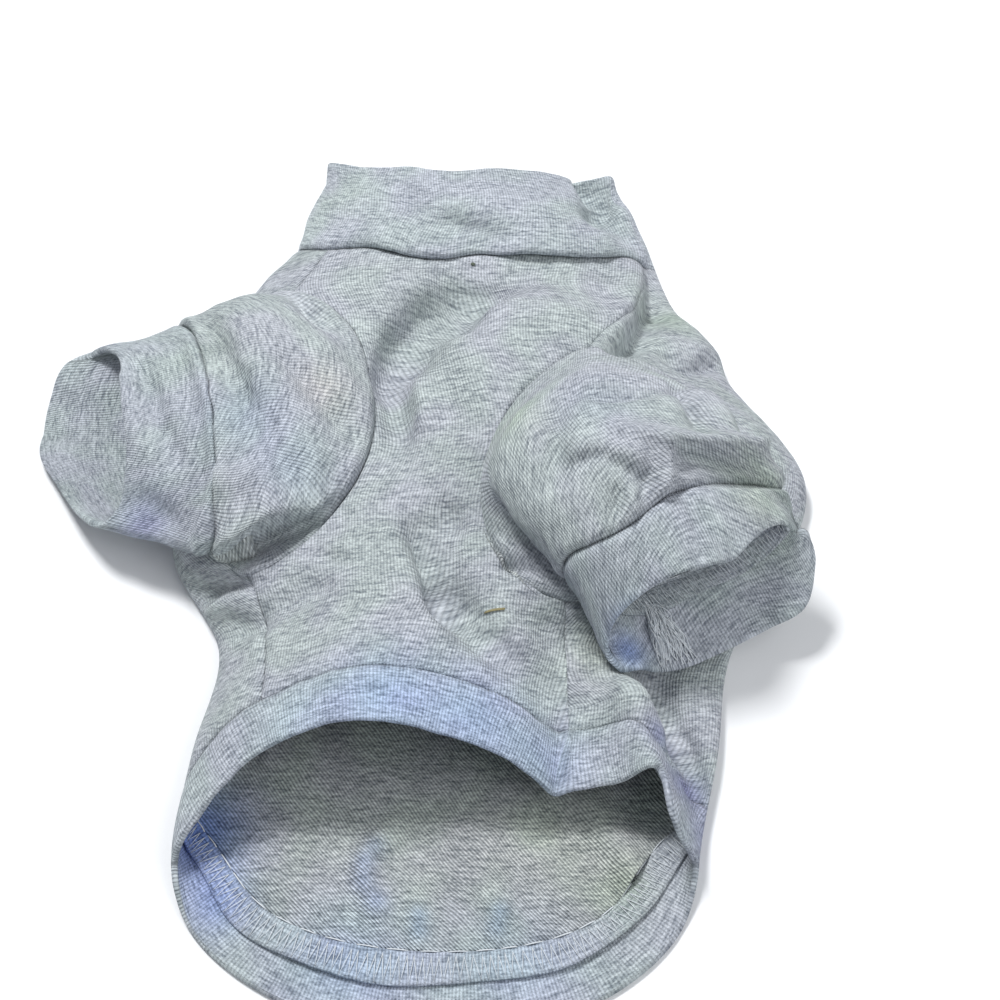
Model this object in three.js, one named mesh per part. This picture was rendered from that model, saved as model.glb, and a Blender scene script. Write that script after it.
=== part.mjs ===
/**
 * A small dog's T-shirt of grey jersey, laid on a flat surface belly side up.
 *
 * The shirt is a tube of two panels. The back panel is the long one, with a round tail. It lies flat on
 * the surface and wraps up round both sides to the side seams. The chest panel is short and lies on top,
 * arched at the hem. Two short set-in sleeves are folded out over the chest, each with a deep cuff band.
 * A doubled collar is sewn into the neck and a doubled band runs round the hem.
 *
 * Millimetres. +X is to the right of the laid shirt, +Y runs from the tail to the collar, and +Z is up.
 * The origin is the middle of the whole shirt's box, on the surface that it lies on.
 */
import * as THREE from "three";

const { clamp, lerp, degToRad, radToDeg } = THREE.MathUtils;
const TURN = 2 * Math.PI;

// Cloth and making-up sizes.
const CLOTH = 1.5; // wall of the single jersey
const BAND = 2.4; // wall of a doubled band
const SEAM_GAP = 0.3; // between two pieces at a seam
const HEM_WIDTH = 18; // depth of the hem band
const COLLAR_HEIGHT = 37; // from neck seam to the collar's fold
const COLLAR_CORNER = 5; // the fold stands this much higher at the collar's two ends
const COLLAR_SLANT = 1.5; // and this much lower towards the right end than in the middle

// Where the neck and the tail run along the body.
const NECK_SIDE = 104;
const NECK_SLANT = 9; // the neck seam is this much lower on the chest, and higher on the back
const TAIL_LENGTH = 51; // from the hem at the sides to the end of the round tail

// How the cloth lies.
const RIM_SHARE = 0.6; // the crown's height at the very outline, as a share of its outer station
const LEAST_HEIGHT = 2 * CLOTH + 2; // the upper cloth lies no lower than this over the lower one
const ROUNDING = { least: 3, most: 16 }; // radius over which the upper cloth turns down at the outline
const SLEEVE_LIFT = CLOTH + 0.6; // a sleeve's outer face lies at least this far over the cloth below it
const SLEEVE_REACH = 3; // and clears the body's cloth by this much sideways

// How finely the pieces are divided.
const HEM_ROWS = 3;
const HEM_FINE_ROWS = 4; // small steps worked out within each row of the hem band
const HEM_RELAX = 0.3; // how far each small step evens out the notch and the corner of the hem
const COLLAR_ROWS = 5;
const SIDE_ROWS = { hem: 6, armhole: 16, shoulder: 3 };
const SIDE_PULL = 1.6; // how soon a panel's rows leave the spacing of its side lines for that of its middle
const MIDDLE = { foot: 0.21, head: 0.94 }; // shares of the way from hem to neck of the armholes' rows there

/** A table whose rows are objects with the named columns. */
function table(columns, rows) {
  return rows.map((row) => Object.fromEntries(columns.map((name, i) => [name, row[i]])));
}

/**
 * Sections of the body across its length. left and right are the outline on the surface, edge is the
 * height of the fold at the outline, and z1 to z5 are the heights of the upper cloth at STATIONS.
 */
const STATIONS = [-0.75, -0.4, 0, 0.4, 0.75];
const SECTIONS = table(
  ["y", "left", "right", "edge", "z1", "z2", "z3", "z4", "z5"],
  [
    [-185, -88, 56, 4, 27, 41, 33, 24, 22],
    [-124, -99, 60, 6, 27, 42, 34, 24, 22],
    [-88, -96, 68, 5, 27, 41, 35, 24, 14],
    [-51, -91, 75, 3, 25, 36, 34, 26, 10],
    [-16, -109, 96, 3, 24, 33, 35, 34, 16],
    [14, -107, 104, 4, 23, 33, 37, 37, 24],
    [52, -101, 82, 4, 22, 31, 35, 35, 22],
    [69, -96, 77, 4, 21, 29, 33, 32, 20],
    [83, -94, 65, 5, 20, 28, 31, 30, 21],
    [96, -88, 60, 5, 18, 24, 26, 25, 18],
    [112, -79, 55, 7, 21, 29, 32, 29, 20],
    [128, -77, 50, 7, 20, 27, 30, 28, 19],
    [145, -71, 43, 7, 19, 25, 27, 25, 17],
  ],
);

/** Soft ridges (rise above 0) and troughs (below 0) of the upper cloth, each along a line on the plan. */
const FOLDS = table(
  ["x1", "y1", "x2", "y2", "width", "rise"],
  [
    [18, -112, 20, -60, 9, -4], // gully along the right side seam
    [50, -118, 40, -78, 8, 12], // ridge beside it
    [62, -112, 50, -64, 6, -5], // foot of the ridge
    [-12, 78, -30, 50, 12, -6], // hollow from the collar down towards the left sleeve
    [-30, 50, -34, 10, 10, -4],
    [-20, -22, -14, -48, 7, -4], // dent in the middle of the chest
    [-14, -48, 12, -78, 7, -2.5],
    [-4, 40, 4, 10, 16, 3], // bulge beside the right sleeve
    [34, 134, 38, 118, 6, -5], // pinch at the collar's right end
    [-84, -50, -58, -42, 6, -4], // crease under the left sleeve
  ],
);

/** The hem's edge over the chest: turn is in degrees from the right outline, over the top, to the left one. */
const HEM_ARCH = table(
  ["turn", "y"],
  [
    [0, -125],
    [28, -117],
    [37, -102], // corner on the ridge
    [50, -102.5],
    [64, -104], // notch at the side seam
    [70, -101.5],
    [81, -96],
    [98, -91.7],
    [114, -91.3],
    [135, -97],
    [147, -106],
    [160, -116],
    [180, -125],
  ],
);

/** Columns round the tube, as spans of the hem's edge from the right side seam, in degrees. */
const CHEST_SPANS = table(["from", "to", "columns"], [[64, 132, 22]]);
const BACK_SPANS = table(
  ["from", "to", "columns"],
  [
    [132, 180, 12], // up the left side
    [180, 360, 24], // underside
    [360, 384, 8], // round the right outline
    [384, 424, 12], // up the right side
  ],
);

/** Each armhole on the plan, between the side seam at its foot and the shoulder seam at its head. */
const SIDES = {
  left: {
    armholeFoot: { x: -82, y: -33 },
    armholeHead: { x: -75, y: 83 },
    neckX: -63,
    chestBite: 36,
    backBite: 15,
  },
  right: {
    armholeFoot: { x: 21, y: -46 },
    armholeHead: { x: 30, y: 48 },
    neckX: 50,
    chestBite: 31,
    backBite: 42,
  },
};

/**
 * Rings of each sleeve, from the shoulder to the cuff. heading is the way the sleeve runs on the plan and
 * tilt how far it points up, both in degrees; wide and tall are half the ring's width and height.
 * steps is the number of rows from the ring before. The rows of the last ring are the cuff's.
 */
const RING_COLUMNS = ["x", "y", "z", "heading", "tilt", "wide", "tall", "steps"];
const SLEEVES = {
  left: table(RING_COLUMNS, [
    [-85, 21.5, 35, 189, 33, 47.5, 17, 4],
    [-103, 18, 27, 192, 33, 45, 18, 4],
    [-139, 20, 19.5, 190, 44, 37.5, 23, 4],
  ]),
  right: table(RING_COLUMNS, [
    [34, -4, 52, -70, 50, 39, 18, 4],
    [42, -17, 50, -69, 24, 38.5, 19, 3],
    [54, -28, 43, -67, 16, 38, 18.5, 3],
    [66, -48, 28, -65, 26, 37, 18.5, 4],
  ]),
};

/** A smooth value of a table's column at any key, by cubic Hermite pieces between the rows. */
function smoothColumn(rows, key, name) {
  const slope = (i) => {
    const a = rows[Math.max(i - 1, 0)];
    const b = rows[Math.min(i + 1, rows.length - 1)];
    return (b[name] - a[name]) / (b[key] - a[key]);
  };
  return (at) => {
    const k = clamp(at, rows[0][key], rows[rows.length - 1][key]);
    let i = 0;
    while (i < rows.length - 2 && k > rows[i + 1][key]) i += 1;
    const span = rows[i + 1][key] - rows[i][key];
    const t = (k - rows[i][key]) / span;
    const t2 = t * t;
    const t3 = t2 * t;
    return (
      (2 * t3 - 3 * t2 + 1) * rows[i][name] +
      (t3 - 2 * t2 + t) * span * slope(i) +
      (3 * t2 - 2 * t3) * rows[i + 1][name] +
      (t3 - t2) * span * slope(i + 1)
    );
  };
}

const section = Object.fromEntries(
  ["left", "right", "edge", "z1", "z2", "z3", "z4", "z5"].map((n) => [n, smoothColumn(SECTIONS, "y", n)]),
);
const archAt = smoothColumn(HEM_ARCH, "turn", "y");

/** The crown's height at across (-1 at the left outline, 1 at the right) and y, before its edge is rounded. */
function crown(across, y) {
  const heights = [section.z1(y), section.z2(y), section.z3(y), section.z4(y), section.z5(y)];
  const rows = STATIONS.map((at, i) => ({ at, z: heights[i] }));
  rows.unshift({ at: -1, z: heights[0] * RIM_SHARE });
  rows.push({ at: 1, z: heights[4] * RIM_SHARE });
  return smoothColumn(rows, "at", "z")(across);
}

/** The rise of all folds at a point on the plan. */
function foldRise(x, y) {
  let rise = 0;
  for (const f of FOLDS) {
    const dx = f.x2 - f.x1;
    const dy = f.y2 - f.y1;
    const t = clamp(((x - f.x1) * dx + (y - f.y1) * dy) / (dx * dx + dy * dy), 0, 1);
    const away = Math.hypot(x - f.x1 - t * dx, y - f.y1 - t * dy);
    rise += f.rise * Math.exp(-((away / f.width) ** 2));
  }
  return rise;
}

/** Height of a quarter round: 0 at the outline, 1 from radius inwards. */
function quarterRound(inside, radius) {
  const q = clamp(1 - inside / radius, 0, 1);
  return Math.sqrt(1 - q * q);
}

/**
 * A point of the body's outer face. angle runs round the tube: 0 at the right outline, a quarter turn at
 * the top, a half at the left outline, three quarters on the underside.
 */
function bodyPoint(angle, y) {
  const left = section.left(y);
  const half = (section.right(y) - left) / 2;
  const across = Math.cos(angle);
  const x = left + half * (1 + across);
  const inside = half * (1 - Math.abs(across));
  const edge = section.edge(y);
  if (Math.sin(angle) < 0) return new THREE.Vector3(x, y, edge * (1 - quarterRound(inside, edge)));
  const rise = Math.max(crown(across, y) + foldRise(x, y), LEAST_HEIGHT) - edge;
  const radius = clamp(rise, ROUNDING.least, ROUNDING.most);
  return new THREE.Vector3(x, y, edge + rise * quarterRound(inside, radius));
}

/** The angle of the upper cloth at a point on the plan. */
function angleAt(x, y) {
  const left = section.left(y);
  const right = section.right(y);
  return Math.acos(clamp((2 * x - left - right) / (right - left), -1, 1));
}

/** The body's outward normal. */
function bodyNormal(angle, y) {
  const d = 1e-3;
  const along = bodyPoint(angle, y + d).sub(bodyPoint(angle, y - d));
  const around = bodyPoint(angle + d, y).sub(bodyPoint(angle - d, y));
  return along.cross(around).normalize();
}

/** The folded edge of the hem band: an arch over the chest and a round tail underneath. */
function hemEdge(angle) {
  const s = Math.sin(angle);
  return s < 0 ? archAt(0) + TAIL_LENGTH * s : archAt(radToDeg(angle) % 360);
}

/** The seam between body and collar. */
function neckSeam(angle) {
  return NECK_SIDE - NECK_SLANT * Math.sin(angle);
}

/** A point of a closed row, also past its end, where the angle has gone a whole turn further. */
function onRow(row, j) {
  const n = row.length;
  const laps = Math.floor(j / n);
  const { angle, y } = row[j - laps * n];
  return { angle: angle + laps * TURN, y };
}

/** The hem's edge as a closed row of {angle, y}, from the right side seam over the chest and round the back. */
function hemEdgeRow() {
  return [...CHEST_SPANS, ...BACK_SPANS].flatMap(({ from, to, columns }) =>
    Array.from({ length: columns }, (_, j) => {
      const angle = degToRad(lerp(from, to, j / columns));
      return { angle, y: hemEdge(angle) };
    }),
  );
}

/** A closed row of {angle, y} moved inwards along the cloth, square to itself, by a small step. */
function inwardRow(row, step) {
  return row.map((here, j) => {
    const before = onRow(row, j - 1);
    const after = onRow(row, j + 1);
    const tangent = bodyPoint(after.angle, after.y).sub(bodyPoint(before.angle, before.y));
    const inward = tangent.cross(bodyNormal(here.angle, here.y)).normalize().multiplyScalar(step);
    const d = 1e-3;
    const start = bodyPoint(here.angle, here.y);
    const perAngle = bodyPoint(here.angle + d, here.y).sub(start).divideScalar(d);
    const perY = bodyPoint(here.angle, here.y + d).sub(start).divideScalar(d);
    const aa = perAngle.dot(perAngle);
    const ay = perAngle.dot(perY);
    const yy = perY.dot(perY);
    const det = aa * yy - ay * ay;
    const ia = inward.dot(perAngle);
    const iy = inward.dot(perY);
    return { angle: here.angle + (ia * yy - iy * ay) / det, y: here.y + (iy * aa - ia * ay) / det };
  });
}

/** A closed row with each point drawn part of the way to the middle of its two neighbours. */
function relaxedRow(row, share) {
  return row.map(({ angle, y }, j) => {
    const before = onRow(row, j - 1);
    const after = onRow(row, j + 1);
    return {
      angle: lerp(angle, (before.angle + after.angle) / 2, share),
      y: lerp(y, (before.y + after.y) / 2, share),
    };
  });
}

/** The rows of the hem band, from its folded edge inwards to its seam. */
function hemBandRows() {
  const step = HEM_WIDTH / (HEM_ROWS * HEM_FINE_ROWS);
  let row = hemEdgeRow();
  const rows = [row];
  for (let i = 0; i < HEM_ROWS; i += 1) {
    for (let k = 0; k < HEM_FINE_ROWS; k += 1) row = inwardRow(relaxedRow(row, HEM_RELAX), step);
    rows.push(row);
  }
  return rows;
}

/**
 * A panel's side line as rows of {angle, y}: side seam, armhole and shoulder seam. toChest is 1 for the
 * chest panel's edge and -1 for the back panel's. start is the seam's point at the hem band.
 */
function sideLine(name, toChest, start) {
  const side = SIDES[name];
  const inwards = name === "left" ? 1 : -1; // the way from the seam to the middle of the chest
  const { armholeFoot: foot, armholeHead: head } = side;
  const bite = toChest > 0 ? side.chestBite : -side.backBite;
  const shift = (inwards * toChest * SEAM_GAP) / 2;
  const startX = bodyPoint(start.angle, start.y).x;
  const neckY = neckSeam(angleAt(side.neckX, NECK_SIDE)) - SEAM_GAP;
  const plan = [];
  for (let i = 0; i < SIDE_ROWS.hem; i += 1) {
    const t = i / SIDE_ROWS.hem;
    plan.push({ x: lerp(startX, foot.x, t * t), y: lerp(start.y, foot.y, t) });
  }
  for (let i = 0; i <= SIDE_ROWS.armhole; i += 1) {
    const turn = (Math.PI * i) / SIDE_ROWS.armhole;
    const t = (1 - Math.cos(turn)) / 2;
    plan.push({
      x: lerp(foot.x, head.x, t) + inwards * bite * Math.sin(turn),
      y: lerp(foot.y, head.y, t),
    });
  }
  for (let i = 1; i <= SIDE_ROWS.shoulder; i += 1) {
    const t = i / SIDE_ROWS.shoulder;
    plan.push({ x: lerp(head.x, side.neckX, t), y: lerp(head.y, neckY, t) });
  }
  return plan.map(({ x, y }) => ({ angle: angleAt(x + shift, y), y }));
}

/** How far the given row of a panel has come from the hem to the neck, in the middle of the panel. */
function middleShare(i) {
  const { hem, armhole, shoulder } = SIDE_ROWS;
  if (i <= hem) return (MIDDLE.foot * i) / hem;
  if (i <= hem + armhole) return lerp(MIDDLE.foot, MIDDLE.head, (i - hem) / armhole);
  return lerp(MIDDLE.head, 1, (i - hem - armhole) / shoulder);
}

/** A panel of the body as rows of {angle, y} between two side lines, from its row at the hem to the neck. */
function panelRows(from, to, hemRow) {
  const last = from.length - 1;
  const columns = hemRow.length - 1;
  const share = (line, i) => (line[i].y - line[0].y) / (line[last].y - line[0].y);
  return from.map((_, i) => {
    const v = middleShare(i);
    return hemRow.map((hem, j) => {
      const s = j / columns;
      const bow = hem.angle - lerp(hemRow[0].angle, hemRow[columns].angle, s);
      const angle = lerp(from[i].angle, to[i].angle, s) + (1 - v) * bow;
      const neckY = neckSeam(lerp(from[last].angle, to[last].angle, s)) - SEAM_GAP;
      const fromPull = (share(from, i) - v) * (1 - s) ** SIDE_PULL;
      const toPull = (share(to, i) - v) * s ** SIDE_PULL;
      return { angle, y: lerp(hem.y, neckY, v + fromPull + toPull) };
    });
  });
}

/** The rows of the collar, from the neck seam up to its fold, over the same columns as the panels' necks. */
function collarRows(neckAngles) {
  return Array.from({ length: COLLAR_ROWS + 1 }, (_, i) =>
    neckAngles.map((angle) => {
      const across = Math.cos(angle);
      const height = COLLAR_HEIGHT + COLLAR_CORNER * across ** 4 - COLLAR_SLANT * across;
      return { angle, y: neckSeam(angle) + (height * i) / COLLAR_ROWS };
    }),
  );
}

/** The outward normals of a grid whose rows run along the cloth and whose columns run round it. */
function gridNormals(grid, closed) {
  const rows = grid.length;
  const columns = grid[0].length;
  const column = (j) => (closed ? (j + columns) % columns : clamp(j, 0, columns - 1));
  return grid.map((row, i) =>
    row.map((_, j) => {
      const along = grid[Math.min(i + 1, rows - 1)][j].clone().sub(grid[Math.max(i - 1, 0)][j]);
      const around = row[column(j + 1)].clone().sub(row[column(j - 1)]);
      return along.cross(around).normalize();
    }),
  );
}

/** A closed wall of the given thickness whose outer face is the grid. closed joins its first and last columns. */
function wall(grid, normals, thickness, closed) {
  const rows = grid.length;
  const columns = grid[0].length;
  const inner = grid.map((row, i) => row.map((p, j) => p.clone().addScaledVector(normals[i][j], -thickness)));
  const positions = [...grid.flat(), ...inner.flat()].flatMap((p) => [p.x, p.y, p.z]);
  const outerAt = (i, j) => i * columns + (j % columns);
  const innerAt = (i, j) => rows * columns + outerAt(i, j);
  const index = [];
  const quad = (a, b, c, d) => index.push(a, b, c, a, c, d);
  const lastColumn = closed ? columns : columns - 1;
  for (let i = 0; i < rows - 1; i += 1) {
    for (let j = 0; j < lastColumn; j += 1) {
      quad(outerAt(i, j), outerAt(i + 1, j), outerAt(i + 1, j + 1), outerAt(i, j + 1));
      quad(innerAt(i, j), innerAt(i, j + 1), innerAt(i + 1, j + 1), innerAt(i + 1, j));
    }
  }
  for (let j = 0; j < lastColumn; j += 1) {
    quad(outerAt(0, j), outerAt(0, j + 1), innerAt(0, j + 1), innerAt(0, j));
    quad(outerAt(rows - 1, j), innerAt(rows - 1, j), innerAt(rows - 1, j + 1), outerAt(rows - 1, j + 1));
  }
  if (!closed) {
    for (let i = 0; i < rows - 1; i += 1) {
      quad(outerAt(i, 0), innerAt(i, 0), innerAt(i + 1, 0), outerAt(i + 1, 0));
      quad(outerAt(i, columns - 1), outerAt(i + 1, columns - 1), innerAt(i + 1, columns - 1), innerAt(i, columns - 1));
    }
  }
  const geometry = new THREE.BufferGeometry();
  geometry.setAttribute("position", new THREE.Float32BufferAttribute(positions, 3));
  geometry.setIndex(index);
  return geometry;
}

/** The body's outward normals along a row. */
function rowNormals(row) {
  return row.map(({ angle, y }) => bodyNormal(angle, y));
}

/**
 * A wall of the body from rows of {angle, y}. Its two ends stand along the given normals, to fit their
 * seams. The side edges of an open wall stand square to the cloth.
 */
function bodyWall(rows, firstNormals, lastNormals, thickness, closed) {
  const grid = rows.map((row) => row.map(({ angle, y }) => bodyPoint(angle, y)));
  const inside = gridNormals(grid, closed).slice(1, -1);
  if (!closed) {
    const square = rowNormals(rows.map((row) => row[0]));
    const lastSquare = rowNormals(rows.map((row) => row.at(-1)));
    inside.forEach((line, i) => {
      line[0] = square[i + 1];
      line[line.length - 1] = lastSquare[i + 1];
    });
  }
  return wall(grid, [firstNormals, ...inside, lastNormals], thickness, closed);
}

/** The armhole as a closed row of {angle, y}. */
function armholeRow(name) {
  const side = SIDES[name];
  const inwards = name === "left" ? 1 : -1;
  const { armholeFoot: foot, armholeHead: head } = side;
  const points = 2 * SIDE_ROWS.armhole;
  // The row starts at the head on the left and at the chest on the right, as the rings of the sleeves do.
  const startTurn = name === "left" ? Math.PI : Math.PI / 2;
  return Array.from({ length: points }, (_, j) => {
    const turn = startTurn - (inwards * TURN * j) / points;
    const t = (1 - Math.cos(turn)) / 2;
    const bite = Math.sin(turn) > 0 ? side.chestBite : side.backBite;
    const x = lerp(foot.x, head.x, t) + inwards * bite * Math.sin(turn);
    const y = lerp(foot.y, head.y, t);
    return { angle: angleAt(x, y), y };
  });
}

/** One free ring of a sleeve. */
function sleeveRing({ x, y, z, heading, tilt, wide, tall }) {
  const h = degToRad(heading);
  const t = degToRad(tilt);
  const along = new THREE.Vector3(Math.cos(h) * Math.cos(t), Math.sin(h) * Math.cos(t), Math.sin(t));
  const up = new THREE.Vector3(-Math.cos(h) * Math.sin(t), -Math.sin(h) * Math.sin(t), Math.cos(t));
  const across = along.clone().cross(up);
  const points = 2 * SIDE_ROWS.armhole;
  return Array.from({ length: points }, (_, j) => {
    const turn = (j / points) * TURN;
    return new THREE.Vector3(x, y, z)
      .addScaledVector(across, wide * Math.cos(turn))
      .addScaledVector(up, tall * Math.sin(turn));
  });
}

/** The point, raised where it would lie in the body's cloth or in the surface. */
function clearOfBody(point) {
  const { x, y } = point;
  const outside = Math.max(section.left(y) - x, x - section.right(y));
  const inwards = 2 * x < section.left(y) + section.right(y) ? 1 : -1;
  const below = outside > SLEEVE_REACH ? 0 : bodyPoint(angleAt(x + inwards * SLEEVE_REACH, y), y).z;
  point.z = Math.max(point.z, below + SLEEVE_LIFT);
  return point;
}

/** A sleeve with its cuff as one grid of rings, from the ring that is sewn into the armhole. */
function sleeveGrid(name, armhole) {
  const rings = [armhole, ...SLEEVES[name].map(sleeveRing)];
  const threads = rings[0].map((_, j) => new THREE.CatmullRomCurve3(rings.map((ring) => ring[j])));
  const grid = [rings[0]];
  SLEEVES[name].forEach(({ steps }, k) => {
    for (let i = 1; i <= steps; i += 1) {
      const t = (k + i / steps) / SLEEVES[name].length;
      grid.push(threads.map((thread) => clearOfBody(thread.getPoint(t))));
    }
  });
  return grid;
}

const group = new THREE.Group();
const jersey = new THREE.MeshStandardMaterial({ name: "jersey", color: 0xb4b9c0, roughness: 0.95, metalness: 0 });
const doubled = new THREE.MeshStandardMaterial({ name: "doubled", color: 0xaeb5be, roughness: 0.95, metalness: 0 });

/** Adds a piece of the shirt as a named mesh. */
function addPiece(name, geometry, material) {
  const mesh = new THREE.Mesh(geometry, material);
  mesh.name = name;
  group.add(mesh);
}

/** Adds the hem band, the two panels and the collar, which share their columns round the tube. */
function addBody() {
  const hemRows = hemBandRows();
  const seamRow = inwardRow(hemRows.at(-1), SEAM_GAP);
  const chestColumns = CHEST_SPANS.reduce((sum, span) => sum + span.columns, 0);
  const wholeRow = Array.from({ length: seamRow.length + 1 }, (_, j) => onRow(seamRow, j));
  const chestHem = wholeRow.slice(0, chestColumns + 1);
  const backHem = wholeRow.slice(chestColumns);
  const oneTurnOn = (line) => line.map(({ angle, y }) => ({ angle: angle + TURN, y }));
  const seamNormals = rowNormals(hemRows.at(-1));
  const wholeNormals = [...seamNormals, seamNormals[0]];
  const chest = panelRows(sideLine("right", 1, chestHem[0]), sideLine("left", 1, backHem[0]), chestHem);
  const backEnd = oneTurnOn(sideLine("right", -1, chestHem[0]));
  const back = panelRows(sideLine("left", -1, backHem[0]), backEnd, backHem);
  const collar = collarRows([...chest.at(-1).slice(0, -1), ...back.at(-1).slice(0, -1)].map((p) => p.angle));
  const chestNormals = wholeNormals.slice(0, chestColumns + 1);
  const backNormals = wholeNormals.slice(chestColumns);
  addPiece("chest_panel", bodyWall(chest, chestNormals, rowNormals(chest.at(-1)), CLOTH, false), jersey);
  addPiece("back_panel", bodyWall(back, backNormals, rowNormals(back.at(-1)), CLOTH, false), jersey);
  addPiece("hem_band", bodyWall(hemRows, rowNormals(hemRows[0]), seamNormals, BAND, true), doubled);
  addPiece("collar", bodyWall(collar, rowNormals(collar[0]), rowNormals(collar.at(-1)), BAND, true), doubled);
}

/** The direction along a closed ring at each of its points. */
function ringTangents(ring) {
  const n = ring.length;
  return ring.map((_, j) => ring[(j + 1) % n].clone().sub(ring[(j + n - 1) % n]).normalize());
}

/**
 * Adds a sleeve and its cuff. The sleeve's first ring lies a seam's gap over the panels and its wall there
 * goes inwards along their cloth. The cuff begins a seam's gap beyond the sleeve's last ring.
 */
function addSleeve(name) {
  const row = armholeRow(name);
  const clothNormals = rowNormals(row);
  const armhole = row.map(({ angle, y }, j) => bodyPoint(angle, y).addScaledVector(clothNormals[j], SEAM_GAP));
  const grid = sleeveGrid(name, armhole);
  const normals = gridNormals(grid, true);
  normals[0] = ringTangents(armhole).map((tangent, j) => clothNormals[j].clone().cross(tangent).normalize());
  const seam = grid.length - 1 - SLEEVES[name].at(-1).steps;
  addPiece("sleeve_" + name, wall(grid.slice(0, seam + 1), normals.slice(0, seam + 1), CLOTH, true), jersey);
  const onwards = ringTangents(grid[seam]).map((tangent, j) => tangent.cross(normals[seam][j]).normalize());
  const cuffStart = grid[seam].map((p, j) => p.clone().addScaledVector(onwards[j], SEAM_GAP));
  const cuffGrid = [cuffStart, ...grid.slice(seam + 1)];
  addPiece("cuff_" + name, wall(cuffGrid, normals.slice(seam), BAND, true), doubled);
}

addBody();
addSleeve("left");
addSleeve("right");

const box = new THREE.Box3().setFromObject(group);
const middle = box.getCenter(new THREE.Vector3());
group.position.set(-middle.x, -middle.y, -box.min.z);

export default group;
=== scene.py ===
"""A small dog's T-shirt of grey heather jersey, laid on a pale surface belly side up.

The shirt is a tube of two panels with set-in sleeves, deep cuff bands, a doubled collar and a hem band. Each
piece of cloth is a thin shell worked out from the shirt's own sizes, with its creases, seams and sewing.
Garment sizes are in millimetres, in the frame of the laid shirt before it was centred; ORIGIN centres it.
"""

import logging
import math
from dataclasses import dataclass, field
from enum import Enum

import bpy
import numpy as np
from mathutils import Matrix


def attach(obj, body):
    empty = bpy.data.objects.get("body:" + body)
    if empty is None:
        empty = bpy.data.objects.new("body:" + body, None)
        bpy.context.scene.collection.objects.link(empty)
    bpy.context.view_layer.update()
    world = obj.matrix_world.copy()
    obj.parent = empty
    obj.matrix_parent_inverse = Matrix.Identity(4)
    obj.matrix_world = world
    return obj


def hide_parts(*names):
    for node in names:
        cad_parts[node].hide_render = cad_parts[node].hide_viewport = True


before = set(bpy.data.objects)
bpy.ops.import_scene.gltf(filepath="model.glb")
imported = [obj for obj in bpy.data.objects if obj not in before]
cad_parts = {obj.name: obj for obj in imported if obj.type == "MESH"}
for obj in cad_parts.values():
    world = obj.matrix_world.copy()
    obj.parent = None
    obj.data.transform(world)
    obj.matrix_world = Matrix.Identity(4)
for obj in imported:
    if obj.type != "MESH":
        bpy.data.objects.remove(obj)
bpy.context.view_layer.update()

Array = np.ndarray
MM = 0.001
TURN = 2 * math.pi
ORIGIN = np.array([26.2285, 12.9359, 0.0])  # from garment coordinates to the row's frame, in mm
LOG = logging.getLogger("dog_shirt")


class Side(Enum):
    """The two sides of the shirt as it lies; the value is the way towards the middle of the chest."""

    LEFT = 1
    RIGHT = -1


# ----------------------------------------------------------------------------------------- tables


def columns(names: str, rows: list[list[float]]) -> dict[str, Array]:
    """Turns a table into its named columns.

    Args:
        names: The columns' names, parted by spaces.
        rows: The table's rows.

    Returns:
        Each column by its name.
    """
    return dict(zip(names.split(), np.array(rows, float).T))


STATIONS = np.array([-1, -0.75, -0.4, 0, 0.4, 0.75, 1])
SECTIONS = columns(
    "y left right edge z1 z2 z3 z4 z5",
    [
        [-185, -88, 56, 4, 27, 41, 33, 24, 22],
        [-124, -99, 60, 6, 27, 42, 34, 24, 22],
        [-88, -96, 68, 5, 27, 41, 35, 24, 14],
        [-51, -91, 75, 3, 25, 36, 34, 26, 10],
        [-16, -109, 96, 3, 24, 33, 35, 34, 16],
        [14, -107, 104, 4, 23, 33, 37, 37, 24],
        [52, -101, 82, 4, 22, 31, 35, 35, 22],
        [69, -96, 77, 4, 21, 29, 33, 32, 20],
        [83, -94, 65, 5, 20, 28, 31, 30, 21],
        [96, -88, 60, 5, 18, 24, 26, 25, 18],
        [112, -75, 55, 7, 21, 29, 32, 29, 20],
        [128, -72, 50, 7, 20, 27, 30, 28, 19],
        [145, -66, 43, 7, 19, 25, 27, 25, 17],
    ],
)
FOLDS = columns(
    "x1 y1 x2 y2 width rise",
    [
        [18, -112, 20, -60, 9, -4], [50, -118, 40, -78, 8, 12], [62, -112, 50, -64, 6, -5],
        [-12, 78, -30, 50, 12, -6], [-30, 50, -34, 10, 10, -4], [-20, -22, -14, -48, 7, -4],
        [-14, -48, 12, -78, 7, -2.5], [-4, 40, 4, 10, 16, 3], [34, 134, 38, 118, 6, -5],
        [-84, -50, -58, -42, 6, -4],
    ],
)
HEM_ARCH = columns(
    "turn y",
    [
        [0, -125], [28, -117], [37, -102], [50, -102.5], [64, -104], [70, -101.5], [81, -96], [98, -91.7],
        [114, -91.3], [135, -97], [147, -106], [160, -116], [180, -125],
    ],
)
NECK_SEAM = columns(
    "turn y",
    [
        [0, 104.5], [15, 104.5], [30, 103.5], [45, 101.5], [60, 98.8], [78, 97.8], [86, 97.2], [92, 95.8],
        [98, 95.6], [105, 97.2], [114, 100.6], [133, 103.5], [150, 107], [165, 110.5], [180, 112],
        [225, 113], [270, 113], [315, 110], [360, 104.5],
    ],
)
CHEST_SPANS = [(64, 130, 22)]  # from, to, columns: degrees round the tube from the right outline
BACK_SPANS = [(130, 180, 12), (180, 360, 24), (360, 384, 8), (384, 424, 12)]
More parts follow.
